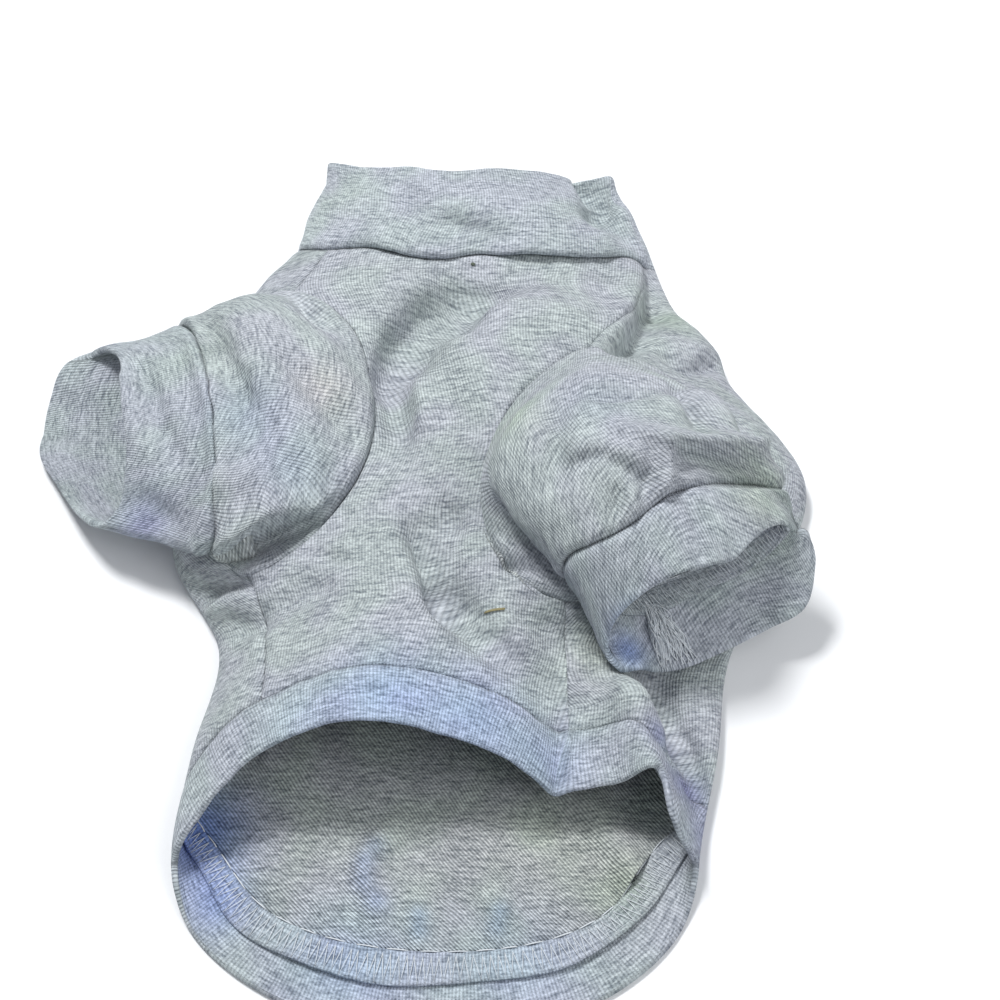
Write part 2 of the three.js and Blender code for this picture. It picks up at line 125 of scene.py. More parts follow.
ARMHOLES = {  # sizes in mm; a drop is a share of the armhole's length
    Side.LEFT: {
        "foot": (-82, -33),
        "head": (-75, 83),
        "neck_x": -63,
        "chest": 37,
        "back": 15,
        "chest_drop": 0.05,
        "back_drop": 0.0,
        "shoulder_bow": 0.0,
    },
    Side.RIGHT: {
        "foot": (21, -46),
        "head": (30, 48),
        "neck_x": 54,
        "chest": 31,
        "back": 42,
        "chest_drop": 0.08,
        "back_drop": -0.05,
        "shoulder_bow": 5.0,
    },
}
RINGS = {
    Side.LEFT: [
        (-85, 21.5, 35, 189, 33, 47.5, 17, 4),
        (-103, 18, 27, 192, 33, 45, 18, 4),
        (-139, 20, 19.5, 190, 44, 37.5, 23, 4),
    ],
    Side.RIGHT: [
        (34, -4, 52, -70, 50, 39, 18, 4), (42, -17, 50, -69, 24, 38.5, 19, 3),
        (54, -28, 43, -67, 16, 38, 18.5, 3), (66, -48, 28, -65, 26, 37, 18.5, 4),
    ],
}


# Creases: from x, y, to x, y, width, rise, sharpness. A rise below 0 is a trough.
BODY_CREASES = [
    # collar
    (-38, 127, -21, 108, 6, -3, 2),
    (-21, 108, 1, 101, 4, -3, 2),
    (-24, 120, -4, 119, 7, 1, 2),
    (29, 141, 33, 133, 2.6, -4.2, 1.6),
    (37, 146, 44, 148, 5, 2.5, 2),
    (44, 138, 34, 121, 4, -4.6, 2),
    (44, 148, 49, 127, 3.5, 1.8, 2),
    (40, 116, 50, 106, 5, -1.5, 2),
    # chest, above
    (14, 86, -10, 79, 9, -5.5, 2),
    (-10, 79, -31, 62, 9, -8, 2),
    (-31, 62, -38, 42, 7.5, -7, 2),
    (-38, 42, -33, 16, 5, -6, 2),
    (-27, 38, -25, 20, 5, 3.4, 2),
    (-25, 20, -28, 14, 3, 1.5, 2),
    (-24, 72, -6, 60, 7, -3, 2),
    (0, 66, 24, 60, 9, 3, 2),
    (58, 106, 56, 82, 4.5, -5, 2),
    (56, 82, 48, 60, 4.5, -6.5, 2),
    (48, 60, 39, 46, 4, -6, 2),
    (48, 100, 47, 80, 5, 2.6, 2),
    (47, 80, 39, 60, 5, 3.2, 2),
    # chest, below
    (-27, -24, -19, -42, 4.4, -6.8, 1.7),
    (-19, -42, -17, -50, 4, -6.4, 1.7),
    (-16, -49, -4, -62, 6, -3.4, 2),
    (-4, -62, 20, -75, 6, -2.8, 2),
    (-34, -28, -26, -50, 6, 2.4, 2),
    (-18, -14, -14, -22, 3.5, -2.6, 2),
    (2, -36, 10, -38, 2.4, -4, 1.7),
    (2, -31, 10, -33.5, 2.5, 1.5, 2),
    (10, -52, 20, -56, 5, -3.4, 2),
    (-58, -60, -20, -68, 9, 0.9, 2),
    # right flank
    (58, 54, 65, 50, 3, -3, 2),
    (65, 50, 76, 57, 3.2, -3.5, 2),
    (62, 61, 76, 63, 4, 1.8, 2),
    (70, 36, 88, 20, 6, 1.2, 2),
    (58, 84, 60, 74, 3, -2, 2),
    # hem, right: the ridge and its foot
    (36, -66, 48, -84, 4.5, 3, 2),
    (44, -64, 57, -88, 4, -5.5, 1.9),
    (57, -88, 62, -98, 3.4, -3, 1.9),
    # left flank, under the sleeve
    (-77, -36, -103, -31, 3.5, -3, 2),
    (-104, -29, -94, -35, 2, -2.2, 1.7),
    (-94, -35, -82, -36, 2, -2.2, 1.7),
    (-100, -38, -84, -40, 3, 1.6, 2),
    (-97, -44, -82, -48, 4, -2.6, 2),
    (-82, -48, -74, -50, 3, -1.8, 2),
    (-60, -30, -50, -34, 3, -1.2, 2),
]
BODY_LAPS = [
    (20.5, -104, 20, -60, -4.5, 9, 1, 0.1),
]
TAIL_CREASES = [
    (-33, -111, -40, -119, 4, 2.2, 2), (-40, -119, -41, -126, 4, 2.6, 2), (-41, -126, -35, -139, 4, 2.0, 2),
    (-25, -135, -24, -146, 2.6, 1.7, 2), (3, -132, -2, -143, 2.6, 1.6, 2), (28, -105, 39, -121, 6, 3.2, 2),
    (39, -121, 42, -134, 5, 3, 2), (22, -129, 20, -136, 3, 1.5, 2), (-70, -126, -52, -134, 4, 1.2, 2),
    (-10, -112, 12, -118, 7, 1.1, 2),
]
SLEEVE_CREASES = {
    Side.LEFT: [
        (-104, 52, -93, 22, 3.5, 2.2, 2), (-93, 22, -88, -8, 4, 2.2, 2), (-88, -8, -95, -24, 3.5, 2.6, 2),
        (-100, 52, -86, 22, 5, -2.4, 2), (-86, 22, -70, -4, 7, -2, 2), (-70, 36, -46, 10, 4, -1.6, 1.6),
        (-60, 46, -44, 22, 6, 1.8, 2), (-70, 76, -59, 60, 4, -3.5, 2), (-74, 8, -62, -12, 5, -1, 2),
        (-64, 4, -56, -10, 5, 0.9, 2), (-120, 40, -111, 14, 3.5, -2, 2), (-111, 14, -104, 2, 3.5, -1.6, 2),
        (-126, 36, -118, 8, 4, 1.2, 2), (-118, -8, -104, -18, 4, -1.6, 2),
    ],
    Side.RIGHT: [
        (24, 15, 54, 17, 5, -3, 2), (17, 8, 17, -20, 5, -3, 2), (26, 6, 50, 5, 9, -2.2, 2),
        (36, -5, 52, -8.5, 3, 1.6, 2), (52, -8.5, 79, -7, 3, 3, 2), (79, -7, 92, -16, 3, 2.5, 2),
        (58, -14, 90, -17, 4.5, -1.9, 2), (22, -18, 30, -14.5, 2.4, -1.6, 1.6),
        (30, -14.5, 44, -21, 2.4, -1.6, 1.6), (24, -13, 42, -14, 4, 1.3, 2),
        (51, -11, 51, -22, 2.5, 2.2, 2), (45, -20, 44, -27, 1.8, -1.5, 1.6),
        (36, -25, 35, -33, 1.8, -1.6, 1.6), (40, -23, 39.5, -30, 2, 1, 2), (50, -20, 49, -25, 2, 1.2, 2),
        (57, 20, 63, -4, 2.5, -2.4, 1.7), (58, -24, 62, -42, 2.2, -1.1, 1.8), (64, -26, 68, -40, 4, 0.8, 2),
        (66, 16, 72, -2, 4, 1.4, 2),
    ],
}
SLEEVE_LAPS = {
    Side.LEFT: [],
    Side.RIGHT: [(50, -9.5, 80, -8.5, 1.5, 5, 0.4, 0.8), (80, -8.5, 93, -17, 1.4, 5, 0.8, 0.4)],
}
# Under the left arm the sleeve folds over itself: x, the fold's y, and the height of the cloth under it.
UNDERARM = columns(
    "x y z",
    [
        [-112, -31, 16], [-100, -28.5, 19], [-83, -23.5, 22.5], [-68, -17.5, 28], [-58, -14, 31.5],
        [-46, -6, 35], [-40, 2, 40],
    ],
)
# How far a cuff is pulled out of round: by turn in degrees, x, y and z at its seam and at its mouth, in mm.
HEAD_ROLLS = {Side.LEFT: 1.8, Side.RIGHT: 0.9}  # how high the sleeve rolls beside the armhole, in mm
CUFF_PULLS = {
    Side.LEFT: columns(
        "turn sx sy sz mx my mz",
        [
            [0, 0, 0, 0, 4, 1.6, 0], [25, 0, 0, 0, 4, 0, 0], [45, 0, 0, 0, 3.5, 0, 0],
            [68, 0, 0, 0, 1, -2, 0], [90, 0, 0, 0, 0, -2, 0], [112, 0, 0, 0, 0.7, 0, 0],
            [135, 0, 0, 0, 1.4, 2.4, 0], [158, 0, 0, 0, 3.4, 4, 0], [180, 0, 0, 0, 2.4, 4, 0],
            [202, 0, 0, 0, 1.4, 7.6, 0], [225, 0, 0, 0, 0.7, 10.4, 0], [248, 0, 0, 0, -0.3, 10, 0],
            [270, 0, 0, 0, -3.4, 8, 0], [292, 0, 0, 0, -1.4, 3.6, 0], [315, 0, 0, 0, -1, 2, 0],
            [338, 0, 0, 0, 0.5, 4.4, 0], [360, 0, 0, 0, 4, 1.6, 0],
        ],
    ),
    Side.RIGHT: columns(
        "turn sx sy sz mx my mz",
        [
            [0, 0, 0, 0, 0, 1.6, 0], [22, 0, -2, 0, 0, 1.7, 2], [45, 0, -5, -2, 0.7, 1, 4],
            [68, 0, -5.5, -4, 0.7, -0.9, 6], [90, 0, -1, -4, 0, -3.7, 6], [112, 0, -0.5, -4, -3.7, -6, 6],
            [135, 0, -2.5, -3, -5.4, 3, 5], [158, 0, -3, -1, -4.6, 7.6, 5], [180, 0, -2, 0, -2, 8.5, 1],
            [202, 0, -1, 0, 1.2, 4.6, 0], [225, 0, 0, 0, 4.4, 1.2, 0], [248, 0, 0, 0, 3.4, 2.8, 0],
            [270, 0, 0, 0, 1.7, 2, 0], [292, 0, 0, 0, 1, 0.4, 0], [315, 0, 0, 0, 1, 0.4, 0],
            [338, 0, 0, 0, 0.3, -1.2, 0], [360, 0, 0, 0, 0, 1.6, 0],
        ],
    ),
}


# ----------------------------------------------------------------------------------------- smooth curves


def hermite(keys: Array, values: Array, at: Array) -> Array:
    """Reads a smooth curve through the rows of a table.

    Args:
        keys: The rows' keys, rising.
        values: The rows' values, or an array of them whose first axis runs over the rows.
        at: Where to read it.

    Returns:
        The value at each place.
    """
    at = np.clip(at, keys[0], keys[-1])
    i = np.clip(np.searchsorted(keys, at, side="right") - 1, 0, len(keys) - 2)
    order = np.arange(len(keys))
    low, high = np.maximum(order - 1, 0), np.minimum(order + 1, len(keys) - 1)
    spread = (keys[high] - keys[low]).reshape((-1,) + (1,) * (values.ndim - 1))
    slopes = (values[high] - values[low]) / spread

    def pick(rows: Array, k: Array) -> Array:
        """The row's value at each place."""
        return rows[k] if rows.ndim == 1 else np.take_along_axis(rows, k[None], axis=0)[0]

    span = keys[i + 1] - keys[i]
    t = (at - keys[i]) / span
    t2, t3 = t * t, t * t * t
    return (
        (2 * t3 - 3 * t2 + 1) * pick(values, i)
        + (t3 - 2 * t2 + t) * span * pick(slopes, i)
        + (3 * t2 - 2 * t3) * pick(values, i + 1)
        + (t3 - t2) * span * pick(slopes, i + 1)
    )


def refined(values: Array, steps: int, lap: float | None = None) -> Array:
    """Puts new values between those along the first axis, on a smooth curve through them.

    Args:
        values: The values, whose first axis is refined.
        steps: How many new spans each old one gets.
        lap: For a closed row, what one whole turn adds to its values.

    Returns:
        The finer values. A closed row gets no repeated end.
    """
    if lap is None:
        padded = np.concatenate([[2 * values[0] - values[1]], values, [2 * values[-1] - values[-2]]])
        spans = len(values) - 1
    else:
        padded = np.concatenate([[values[-1] - lap], values, [values[0] + lap, values[1] + lap]])
        spans = len(values)
    t = (np.arange(steps) / steps).reshape((1, -1) + (1,) * (values.ndim - 1))
    p0, p1, p2, p3 = (padded[k : k + spans, None] for k in range(4))
    fine = 0.5 * (
        2 * p1 + (p2 - p0) * t + (2 * p0 - 5 * p1 + 4 * p2 - p3) * t**2 + (3 * p1 - p0 - 3 * p2 + p3) * t**3
    )
    fine = fine.reshape((spans * steps,) + values.shape[1:])
    return fine if lap is not None else np.concatenate([fine, values[-1:]])


def unit(vectors: Array) -> Array:
    """The vectors at length 1."""
    return vectors / np.maximum(np.linalg.norm(vectors, axis=-1, keepdims=True), 1e-9)


def grid_normals(grid: Array, closed: bool) -> Array:
    """Outward normals of a grid whose rows run along the cloth and whose columns run round it."""
    along = np.gradient(grid, axis=0)
    if closed:
        around = np.roll(grid, -1, axis=1) - np.roll(grid, 1, axis=1)
    else:
        around = np.gradient(grid, axis=1)
    return unit(np.cross(along, around))


def evened(values: Array, rounds: int, closed: bool) -> Array:
    """A grid's values, evened out along each row."""
    for _ in range(rounds):
        near = np.roll(values, 1, axis=1) + np.roll(values, -1, axis=1)
        if not closed:
            near[:, 0], near[:, -1] = 2 * values[:, 0], 2 * values[:, -1]
        values = (2 * values + near) / 4
    return values


def arc_lengths(grid: Array, axis: int) -> Array:
    """How far each point lies from the first one, measured along the cloth on the given axis."""
    steps = np.linalg.norm(np.diff(grid, axis=axis), axis=-1)
    start = np.zeros_like(np.take(grid[..., 0], [0], axis=axis))
    return np.concatenate([start, np.cumsum(steps, axis=axis)], axis=axis)


# ----------------------------------------------------------------------------------------- creases


@dataclass
class Creases:
    """Soft troughs and ridges pressed into a piece of cloth, each along a line on the plan.

    Each row is x1, y1, x2, y2, width, rise and sharpness. A rise below 0 is a trough. Sharpness is 2 for a
    soft roll and near 1 for a pressed crease.
    """

    rows: list[tuple[float, ...]] = field(default_factory=list)
    strength: float = 1.0

    def rise(self, points: Array) -> Array:
        """How far each point moves outwards."""
        total = np.zeros(points.shape[:-1])
        for x1, y1, x2, y2, width, rise, sharpness in self.rows:
            dx, dy = x2 - x1, y2 - y1
            t = ((points[..., 0] - x1) * dx + (points[..., 1] - y1) * dy) / (dx * dx + dy * dy)
            s = np.clip(t, 0, 1)
            away = np.hypot(points[..., 0] - x1 - s * dx, points[..., 1] - y1 - s * dy)
            taper = 0.55 + 0.45 * np.sin(math.pi * np.clip(0.1 + 0.8 * s, 0, 1))
            total += rise * taper * np.exp(-((away / width) ** sharpness))
        return self.strength * total


def eased(values: Array, rounds: int, closed: bool) -> Array:
    """A grid with each inner place drawn towards the middle of its neighbours; its first and last rows stay.

    Args:
        values: The grid, with its columns along the second axis.
        rounds: How many times.
        closed: Whether the columns meet round a ring. If not, the first and last columns stay as well.

    Returns:
        The eased grid.
    """
    values = values.copy()
    for _ in range(rounds):
        before, after = np.roll(values, 1, axis=1), np.roll(values, -1, axis=1)
        near = (values[:-2] + values[2:] + before[1:-1] + after[1:-1]) / 4
        new = lerp(values[1:-1], near, 0.5)
        if not closed:
            new[:, 0], new[:, -1] = values[1:-1, 0], values[1:-1, -1]
        values[1:-1] = new
    return values


@dataclass
class Laps:
    """Folds of the cloth over itself: the left side of each line stands up and hangs over the right.

    Each row is x1, y1, x2, y2, rise, reach, and the share of the rise at the line's two ends.
    """

    rows: list[tuple[float, ...]] = field(default_factory=list)

    def shift(self, points: Array) -> Array:
        """How far each point moves."""
        total = np.zeros(points.shape)
        for x1, y1, x2, y2, rise, reach, first, last in self.rows:
            way = np.array([x2 - x1, y2 - y1])
            length = np.linalg.norm(way)
            way = way / length
            away = points[..., :2] - np.array([x1, y1])
            t = away @ way / length
            side = away @ np.array([-way[1], way[0]])
            beyond = np.maximum(np.maximum(-t, t - 1), 0) * length
            strength = rise * lerp(first, last, np.clip(t, 0, 1)) * np.exp(-((beyond / 4) ** 2))
            up = strength * share_between(side, -1.2, 0.8)
            total[..., 2] += up * np.exp(-np.maximum(side, 0) / reach)
            hang = 0.6 * up * np.exp(-((np.maximum(side, 0) / (0.5 * reach)) ** 2))
            total[..., 0] += hang * way[1]
            total[..., 1] -= hang * way[0]
        return total


@dataclass
class Crumple:
    """The small unevenness of soft cloth: many faint waves in all directions, the same on each run."""

    seed: int
    shortest: float = 7.0  # wavelengths in mm
    longest: float = 40.0
    amount: float = 0.42
    waves: int = 40

    def rise(self, points: Array) -> Array:
        """How far each point moves outwards."""
        rng = np.random.default_rng(self.seed)
        total = np.zeros(points.shape[:-1])
        for _ in range(self.waves):
            length = self.shortest * (self.longest / self.shortest) ** rng.random()
            way = unit(rng.normal(size=3)) * TURN / length
            bend = unit(rng.normal(size=3)) * TURN / (length * 2.7)
            phase = points @ way + 1.4 * np.sin(points @ bend + rng.random() * TURN) + rng.random() * TURN
            total += (length / self.longest) ** 0.6 * np.sin(phase)
        return self.amount * total / math.sqrt(self.waves / 2)


# ----------------------------------------------------------------------------------------- the body's form


@dataclass
class BodyForm:
    """The tube that the two panels, the hem band and the collar follow."""

    rim_share: float = 0.6
    least_height: float = 5.0
    rounding: tuple[float, float] = (3.0, 16.0)
    tail_length: float = 48.5

    def column(self, name: str, y: Array) -> Array:
        """A column of the sections at y."""
        return hermite(SECTIONS["y"], SECTIONS[name], y)

    def crown(self, across: Array, y: Array) -> Array:
        """The upper cloth's height before its edge is rounded."""
        heights = [self.column(f"z{k}", y) for k in range(1, 6)]
        ends = [heights[0] * self.rim_share, heights[-1] * self.rim_share]
        return hermite(STATIONS, np.stack([ends[0], *heights, ends[1]]), across)

    def fold_rise(self, x: Array, y: Array) -> Array:
        """The rise of the large folds."""
        total = np.zeros_like(x)
        for x1, y1, x2, y2, width, rise in zip(*FOLDS.values()):
            dx, dy = x2 - x1, y2 - y1
            t = np.clip(((x - x1) * dx + (y - y1) * dy) / (dx * dx + dy * dy), 0, 1)
            away = np.hypot(x - x1 - t * dx, y - y1 - t * dy)
            total += rise * np.exp(-((away / width) ** 2))
        return total

    def point(self, angle: Array, y: Array) -> Array:
        """Points of the body's outer face.

        Args:
            angle: The way round the tube, 0 at the right outline and a quarter turn at the top.
            y: The place along the tube.

        Returns:
            The points, in mm.
        """
        left = self.column("left", y)
        half = (self.column("right", y) - left) / 2
        across = np.cos(angle)
        x = left + half * (1 + across)
        inside = half * (1 - np.abs(across))
        edge = self.column("edge", y)
        rise = np.maximum(self.crown(across, y) + self.fold_rise(x, y), self.least_height) - edge
        upper = edge + rise * quarter_round(inside, np.clip(rise, *self.rounding))
        lower = edge * (1 - quarter_round(inside, edge))
        return np.stack([x, y + 0 * x, np.where(np.sin(angle) < 0, lower, upper)], axis=-1)

    def normal(self, angle: Array, y: Array) -> Array:
        """The outward normals at the same places."""
        d = 1e-3
        along = self.point(angle, y + d) - self.point(angle, y - d)
        around = self.point(angle + d, y) - self.point(angle - d, y)
        return unit(np.cross(along, around))

    def angle_at(self, x: Array, y: Array) -> Array:
        """The angle of the upper cloth at a point on the plan."""
        left, right = self.column("left", y), self.column("right", y)
        return np.arccos(np.clip((2 * x - left - right) / (right - left), -1, 1))

    def cloth(self, angle: Array, y: Array, home: float) -> Array:
        """Where places lie on the flat cloth, measured along the courses and along the wales.

        Args:
            angle: The way round the tube.
            y: The place along the tube.
            home: The angle of the wale that the courses are measured from.

        Returns:
            The cloth coordinates, in mm.
        """
        turns, ys = np.radians(np.arange(0, 541.0)), np.arange(-190.0, 151.0, 4.0)
        courses = arc_lengths(self.point(*np.meshgrid(turns, ys)), 1)
        row, column = (y - ys[0]) / 4, np.degrees(angle)
        i = np.clip(row.astype(int), 0, len(ys) - 2)
        j = np.clip(column.astype(int), 0, len(turns) - 2)
        courses = courses - courses[:, [round(math.degrees(home))]]
        low = lerp(courses[i, j], courses[i, j + 1], column - j)
        high = lerp(courses[i + 1, j], courses[i + 1, j + 1], column - j)
        return np.stack([lerp(low, high, row - i), y], axis=-1)

    def hem_edge(self, angle: Array) -> Array:
        """The folded edge of the hem band: an arch over the chest and a round tail underneath."""
        s = np.sin(angle)
        turn = np.degrees(angle) % 360
        tail = HEM_ARCH["y"][0] + self.tail_length * s
        return np.where(s < 0, tail, hermite(HEM_ARCH["turn"], HEM_ARCH["y"], turn))

    def neck_seam(self, angle: Array) -> Array:
        """The seam between body and collar."""
        return hermite(NECK_SEAM["turn"], NECK_SEAM["y"], np.degrees(angle) % 360)


def quarter_round(inside: Array, radius: Array) -> Array:
    """Height of a quarter round: 0 at the outline, 1 from the radius inwards."""
    q = np.clip(1 - inside / radius, 0, 1)
    return np.sqrt(1 - q * q)


def lerp(a: Array, b: Array, t: Array) -> Array:
    """The value a share t of the way from a to b."""
    return a + (b - a) * t


def groove(distance: Array, depth: float, width: float) -> Array:
    """A groove along an edge, deepest at distance 0."""
    return -depth * np.exp(-((distance / width) ** 2))


def roll(distance: Array, rise: float, reach: float) -> Array:
    """A soft roll of cloth beside an edge, highest at its reach and nothing at the edge."""
    q = np.maximum(distance, 0) / reach
    return rise * q * np.exp(1 - q)


def share_between(value: Array, low: float, high: float) -> Array:
    """A smooth share, 0 up to low and 1 from high."""
    t = np.clip((value - low) / (high - low), 0, 1)
    return t * t * (3 - 2 * t)


# ----------------------------------------------------------------------------------------- finishes


def linear(colour: str) -> tuple[float, float, float, float]:
    """An sRGB hex colour as linear red, green, blue and alpha."""
    parts = [int(colour[k : k + 2], 16) / 255 for k in (1, 3, 5)]
    r, g, b = (c / 12.92 if c <= 0.04045 else ((c + 0.055) / 1.055) ** 2.4 for c in parts)
    return (r, g, b, 1.0)


def add_node(tree: bpy.types.NodeTree, kind: str, inputs: dict, **settings: object) -> bpy.types.Node:
    """Adds a node with its settings and links.

    Args:
        tree: The material's node tree.
        kind: The node's type, without the words that all of them start with.
        inputs: By an input's name or place, its value, or the node or socket to link to it.
        settings: The node's own properties.

    Returns:
        The node.
    """
    node = tree.nodes.new("ShaderNode" + kind)
    for name, value in settings.items():
        setattr(node, name, value)
    for name, value in inputs.items():
        if isinstance(value, bpy.types.Node):
            value = value.outputs[0]
        if isinstance(value, bpy.types.NodeSocket):
            tree.links.new(value, node.inputs[name])
        else:
            node.inputs[name].default_value = value
    return node


def new_material(name: str) -> bpy.types.Material:
    """An empty material."""
    material = bpy.data.materials.new(name)
    material.use_nodes = True
    material.node_tree.nodes.clear()
    return material


@dataclass(frozen=True)
class Jersey:
    """Single jersey of grey melange cotton yarn, washed and soft.

    The eye sees fine ribs (the wales) on the right side and slanting purl loops on the wrong side. Grains and
    short streaks of darker and paler fibre lie along the courses, and a matt nap pales at grazing angles.
    """

    name: str
    pale: str = "#c6cbce"
    dark: str = "#7b8188"
    wale: float = 1.04  # mm from rib to rib
    course: float = 0.89  # mm from loop to loop
    purl: bool = False
    relief: float = 0.2  # mm
    rib_shade: float = 0.34

    def make(self) -> bpy.types.Material:
        """The finish as a material."""
        material = new_material(self.name)
        tree = material.node_tree
        flat = {"noise_dimensions": "2D"}
        blend = {"data_type": "RGBA"}
        product = {"data_type": "RGBA", "blend_type": "MULTIPLY"}
        cloth = add_node(tree, "UVMap", {}, uv_map="cloth")
        # The yarn wanders a little, so no rib is quite straight.
        bend = add_node(tree, "TexNoise", {"Vector": cloth, "Scale": 0.05, "Detail": 1.0}, **flat)
        centred = add_node(tree, "VectorMath", {0: bend.outputs["Color"], 1: (-0.5, -0.5, -0.5)})
        bent = add_node(tree, "VectorMath", {0: centred, 1: (2.0, 2.0, 0)}, operation="MULTIPLY")
        axes = add_node(tree, "SeparateXYZ", {0: add_node(tree, "VectorMath", {0: cloth, 1: bent})})
        across = add_node(tree, "Math", {0: axes.outputs[0], 1: self.wale}, operation="DIVIDE")
        along = add_node(tree, "Math", {0: axes.outputs[1], 1: self.course}, operation="DIVIDE")
        if self.purl:
            # Purl loops join into slanting lines, drawn a little coarser than the loops so that they show.
            slant = add_node(tree, "Math", {0: along, 1: 0.8, 2: across}, operation="MULTIPLY_ADD")
            turn = add_node(tree, "Math", {0: slant, 1: 0.86 * TURN}, operation="MULTIPLY")
            wave = add_node(tree, "Math", {0: turn}, operation="SINE")
            rib = add_node(tree, "Math", {0: wave, 1: 0.5, 2: 0.5}, operation="MULTIPLY_ADD")
        else:
            # Two legs of each loop lean together into a rib.
            lean = add_node(tree, "Math", {0: across, 1: 0.5}, operation="PINGPONG")
            loop = add_node(tree, "Math", {0: lean, 1: 1.3, 2: along}, operation="MULTIPLY_ADD")
            whole = add_node(tree, "Math", {0: loop, 1: TURN}, operation="MULTIPLY")
            bead = add_node(tree, "Math", {0: whole}, operation="SINE")
            half = add_node(tree, "Math", {0: across, 1: math.pi}, operation="MULTIPLY")
            sine = add_node(tree, "Math", {0: half}, operation="SINE")
            ridge = add_node(tree, "Math", {0: sine}, operation="ABSOLUTE")
            rib = add_node(tree, "Math", {0: bead, 1: 0.14, 2: ridge}, operation="MULTIPLY_ADD")

        streak_place = add_node(tree, "Mapping", {"Vector": cloth, "Scale": (0.3, 1.25, 1)})
        streak = add_node(tree, "TexNoise", {"Vector": streak_place, "Scale": 1.0, "Detail": 2.0}, **flat)
        # Darker fibres lie in longer streaks along the courses.
        stretch = {"Vector": cloth, "Location": (7, 70, 0), "Scale": (0.085, 0.75, 1)}
        long_place = add_node(tree, "Mapping", stretch)
        long = add_node(tree, "TexNoise", {"Vector": long_place, "Scale": 1.0, "Detail": 3.0}, **flat)
        stretch = {"Vector": cloth, "Location": (40, 9, 0), "Scale": (0.85, 1.3, 1)}
        grain_place = add_node(tree, "Mapping", stretch)
        grain = add_node(tree, "TexNoise", {"Vector": grain_place, "Scale": 1.0, "Detail": 2.0}, **flat)
        cloud = add_node(tree, "TexNoise", {"Vector": cloth, "Scale": 0.055, "Detail": 4.0}, **flat)
        fibres = add_node(tree, "Math", {0: grain, 1: 0.9, 2: streak}, operation="MULTIPLY_ADD")
        lengthy = add_node(tree, "Math", {0: long, 1: 0.8, 2: fibres}, operation="MULTIPLY_ADD")
        melange = add_node(tree, "Math", {0: cloud, 1: 0.3, 2: lengthy}, operation="MULTIPLY_ADD")
        share = add_node(tree, "MapRange", {"Value": melange, "From Min": 1.1, "From Max": 1.84})
        hues = {0: share, 6: linear(self.dark), 7: linear(self.pale)}
        yarn = add_node(tree, "Mix", hues, **blend).outputs[2]
        # The melange holds fibres of a faint green and a faint violet.
        hue = add_node(tree, "TexNoise", {"Vector": cloth, "Scale": 0.045, "Detail": 1.0}, **flat)
        hue_share = add_node(tree, "MapRange", {"Value": hue, "From Min": 0.35, "From Max": 0.65})
        hues = {0: hue_share, 6: linear("#f8fdf9"), 7: linear("#faf9fe")}
        fibre_hue = add_node(tree, "Mix", hues, **blend).outputs[2]
        hued = add_node(tree, "Mix", {0: 1.0, 6: yarn, 7: fibre_hue}, **product)
        # The grooves between the ribs, and between the purl lines, are painted darker: painted shade in the
        # knit's recesses.
        shades = {0: rib, 1: self.rib_shade, 2: 1 - 0.6 * self.rib_shade}
        shade = add_node(tree, "Math", shades, operation="MULTIPLY_ADD")
        ribbed = add_node(tree, "Mix", {0: 1.0, 6: hued.outputs[2], 7: shade}, **product)
        # The colour attribute multiplies in the cloth's own faint hues and painted shade in creases, valleys
        # and hollows.
        tint_and_shade = add_node(tree, "VertexColor", {}, layer_name="tint_and_shade")
        colour = add_node(tree, "Mix", {0: 1.0, 6: ribbed.outputs[2], 7: tint_and_shade}, **product)
        height = add_node(tree, "Math", {0: grain, 1: 1.2, 2: rib}, operation="MULTIPLY_ADD")
        bump = add_node(tree, "Bump", {"Height": height, "Distance": self.relief * MM, "Strength": 1.0})
        shader = add_node(
            tree,
            "BsdfPrincipled",
            {
                "Base Color": colour.outputs[2],
                "Normal": bump,
                "Roughness": 0.95,
                "IOR": 1.5,
                "Specular IOR Level": 0.15,
                "Sheen Weight": 0.12,
                "Sheen Roughness": 0.5,
            },
        )
        add_node(tree, "OutputMaterial", {"Surface": shader})
        return material


@dataclass(frozen=True)
class Plain:
    """A finish of one stuff all through: sewing thread, straw, lint or the floor's matt board."""

    name: str
    base: str
    second: str
    grain: float  # patches to the metre
    roughness: float = 0.8

    def make(self) -> bpy.types.Material:
        """The finish as a material."""
        material = new_material(self.name)
        tree = material.node_tree
        place = add_node(tree, "TexCoord", {}).outputs["Object"]
        patches = add_node(tree, "TexNoise", {"Vector": place, "Scale": self.grain, "Detail": 3.0})
        hues = {0: patches, 6: linear(self.base), 7: linear(self.second)}
        colour = add_node(tree, "Mix", hues, data_type="RGBA").outputs[2]
        stuff = {"Base Color": colour, "Roughness": self.roughness, "IOR": 1.5, "Specular IOR Level": 0.2}
        shader = add_node(tree, "BsdfPrincipled", stuff)
        add_node(tree, "OutputMaterial", {"Surface": shader})
        return material


@dataclass(frozen=True)
class Wardrobe:
    """All the finishes, each made once."""

    right_side: bpy.types.Material
    wrong_side: bpy.types.Material
    band: bpy.types.Material
    thread: bpy.types.Material
    straw: bpy.types.Material
    lint: bpy.types.Material


def make_wardrobe() -> Wardrobe:
    """Makes the finishes of the shirt."""
    return Wardrobe(
        right_side=Jersey("heather_jersey").make(),
        wrong_side=Jersey(
            "heather_jersey_purl", pale="#d3d7d6", dark="#81878a", purl=True, relief=0.3, rib_shade=0.62
        ).make(),
        band=Jersey("heather_jersey_band", pale="#c6ccd1", dark="#7b828a").make(),
        thread=Plain("white_polyester_thread", "#e9edf0", "#cfd6dd", 900).make(),
        straw=Plain("dry_straw", "#a39a74", "#7d775c", 1500).make(),
        lint=Plain("dark_lint", "#4a5248", "#6a7166", 2500).make(),
    )


# ----------------------------------------------------------------------------------------- cloth


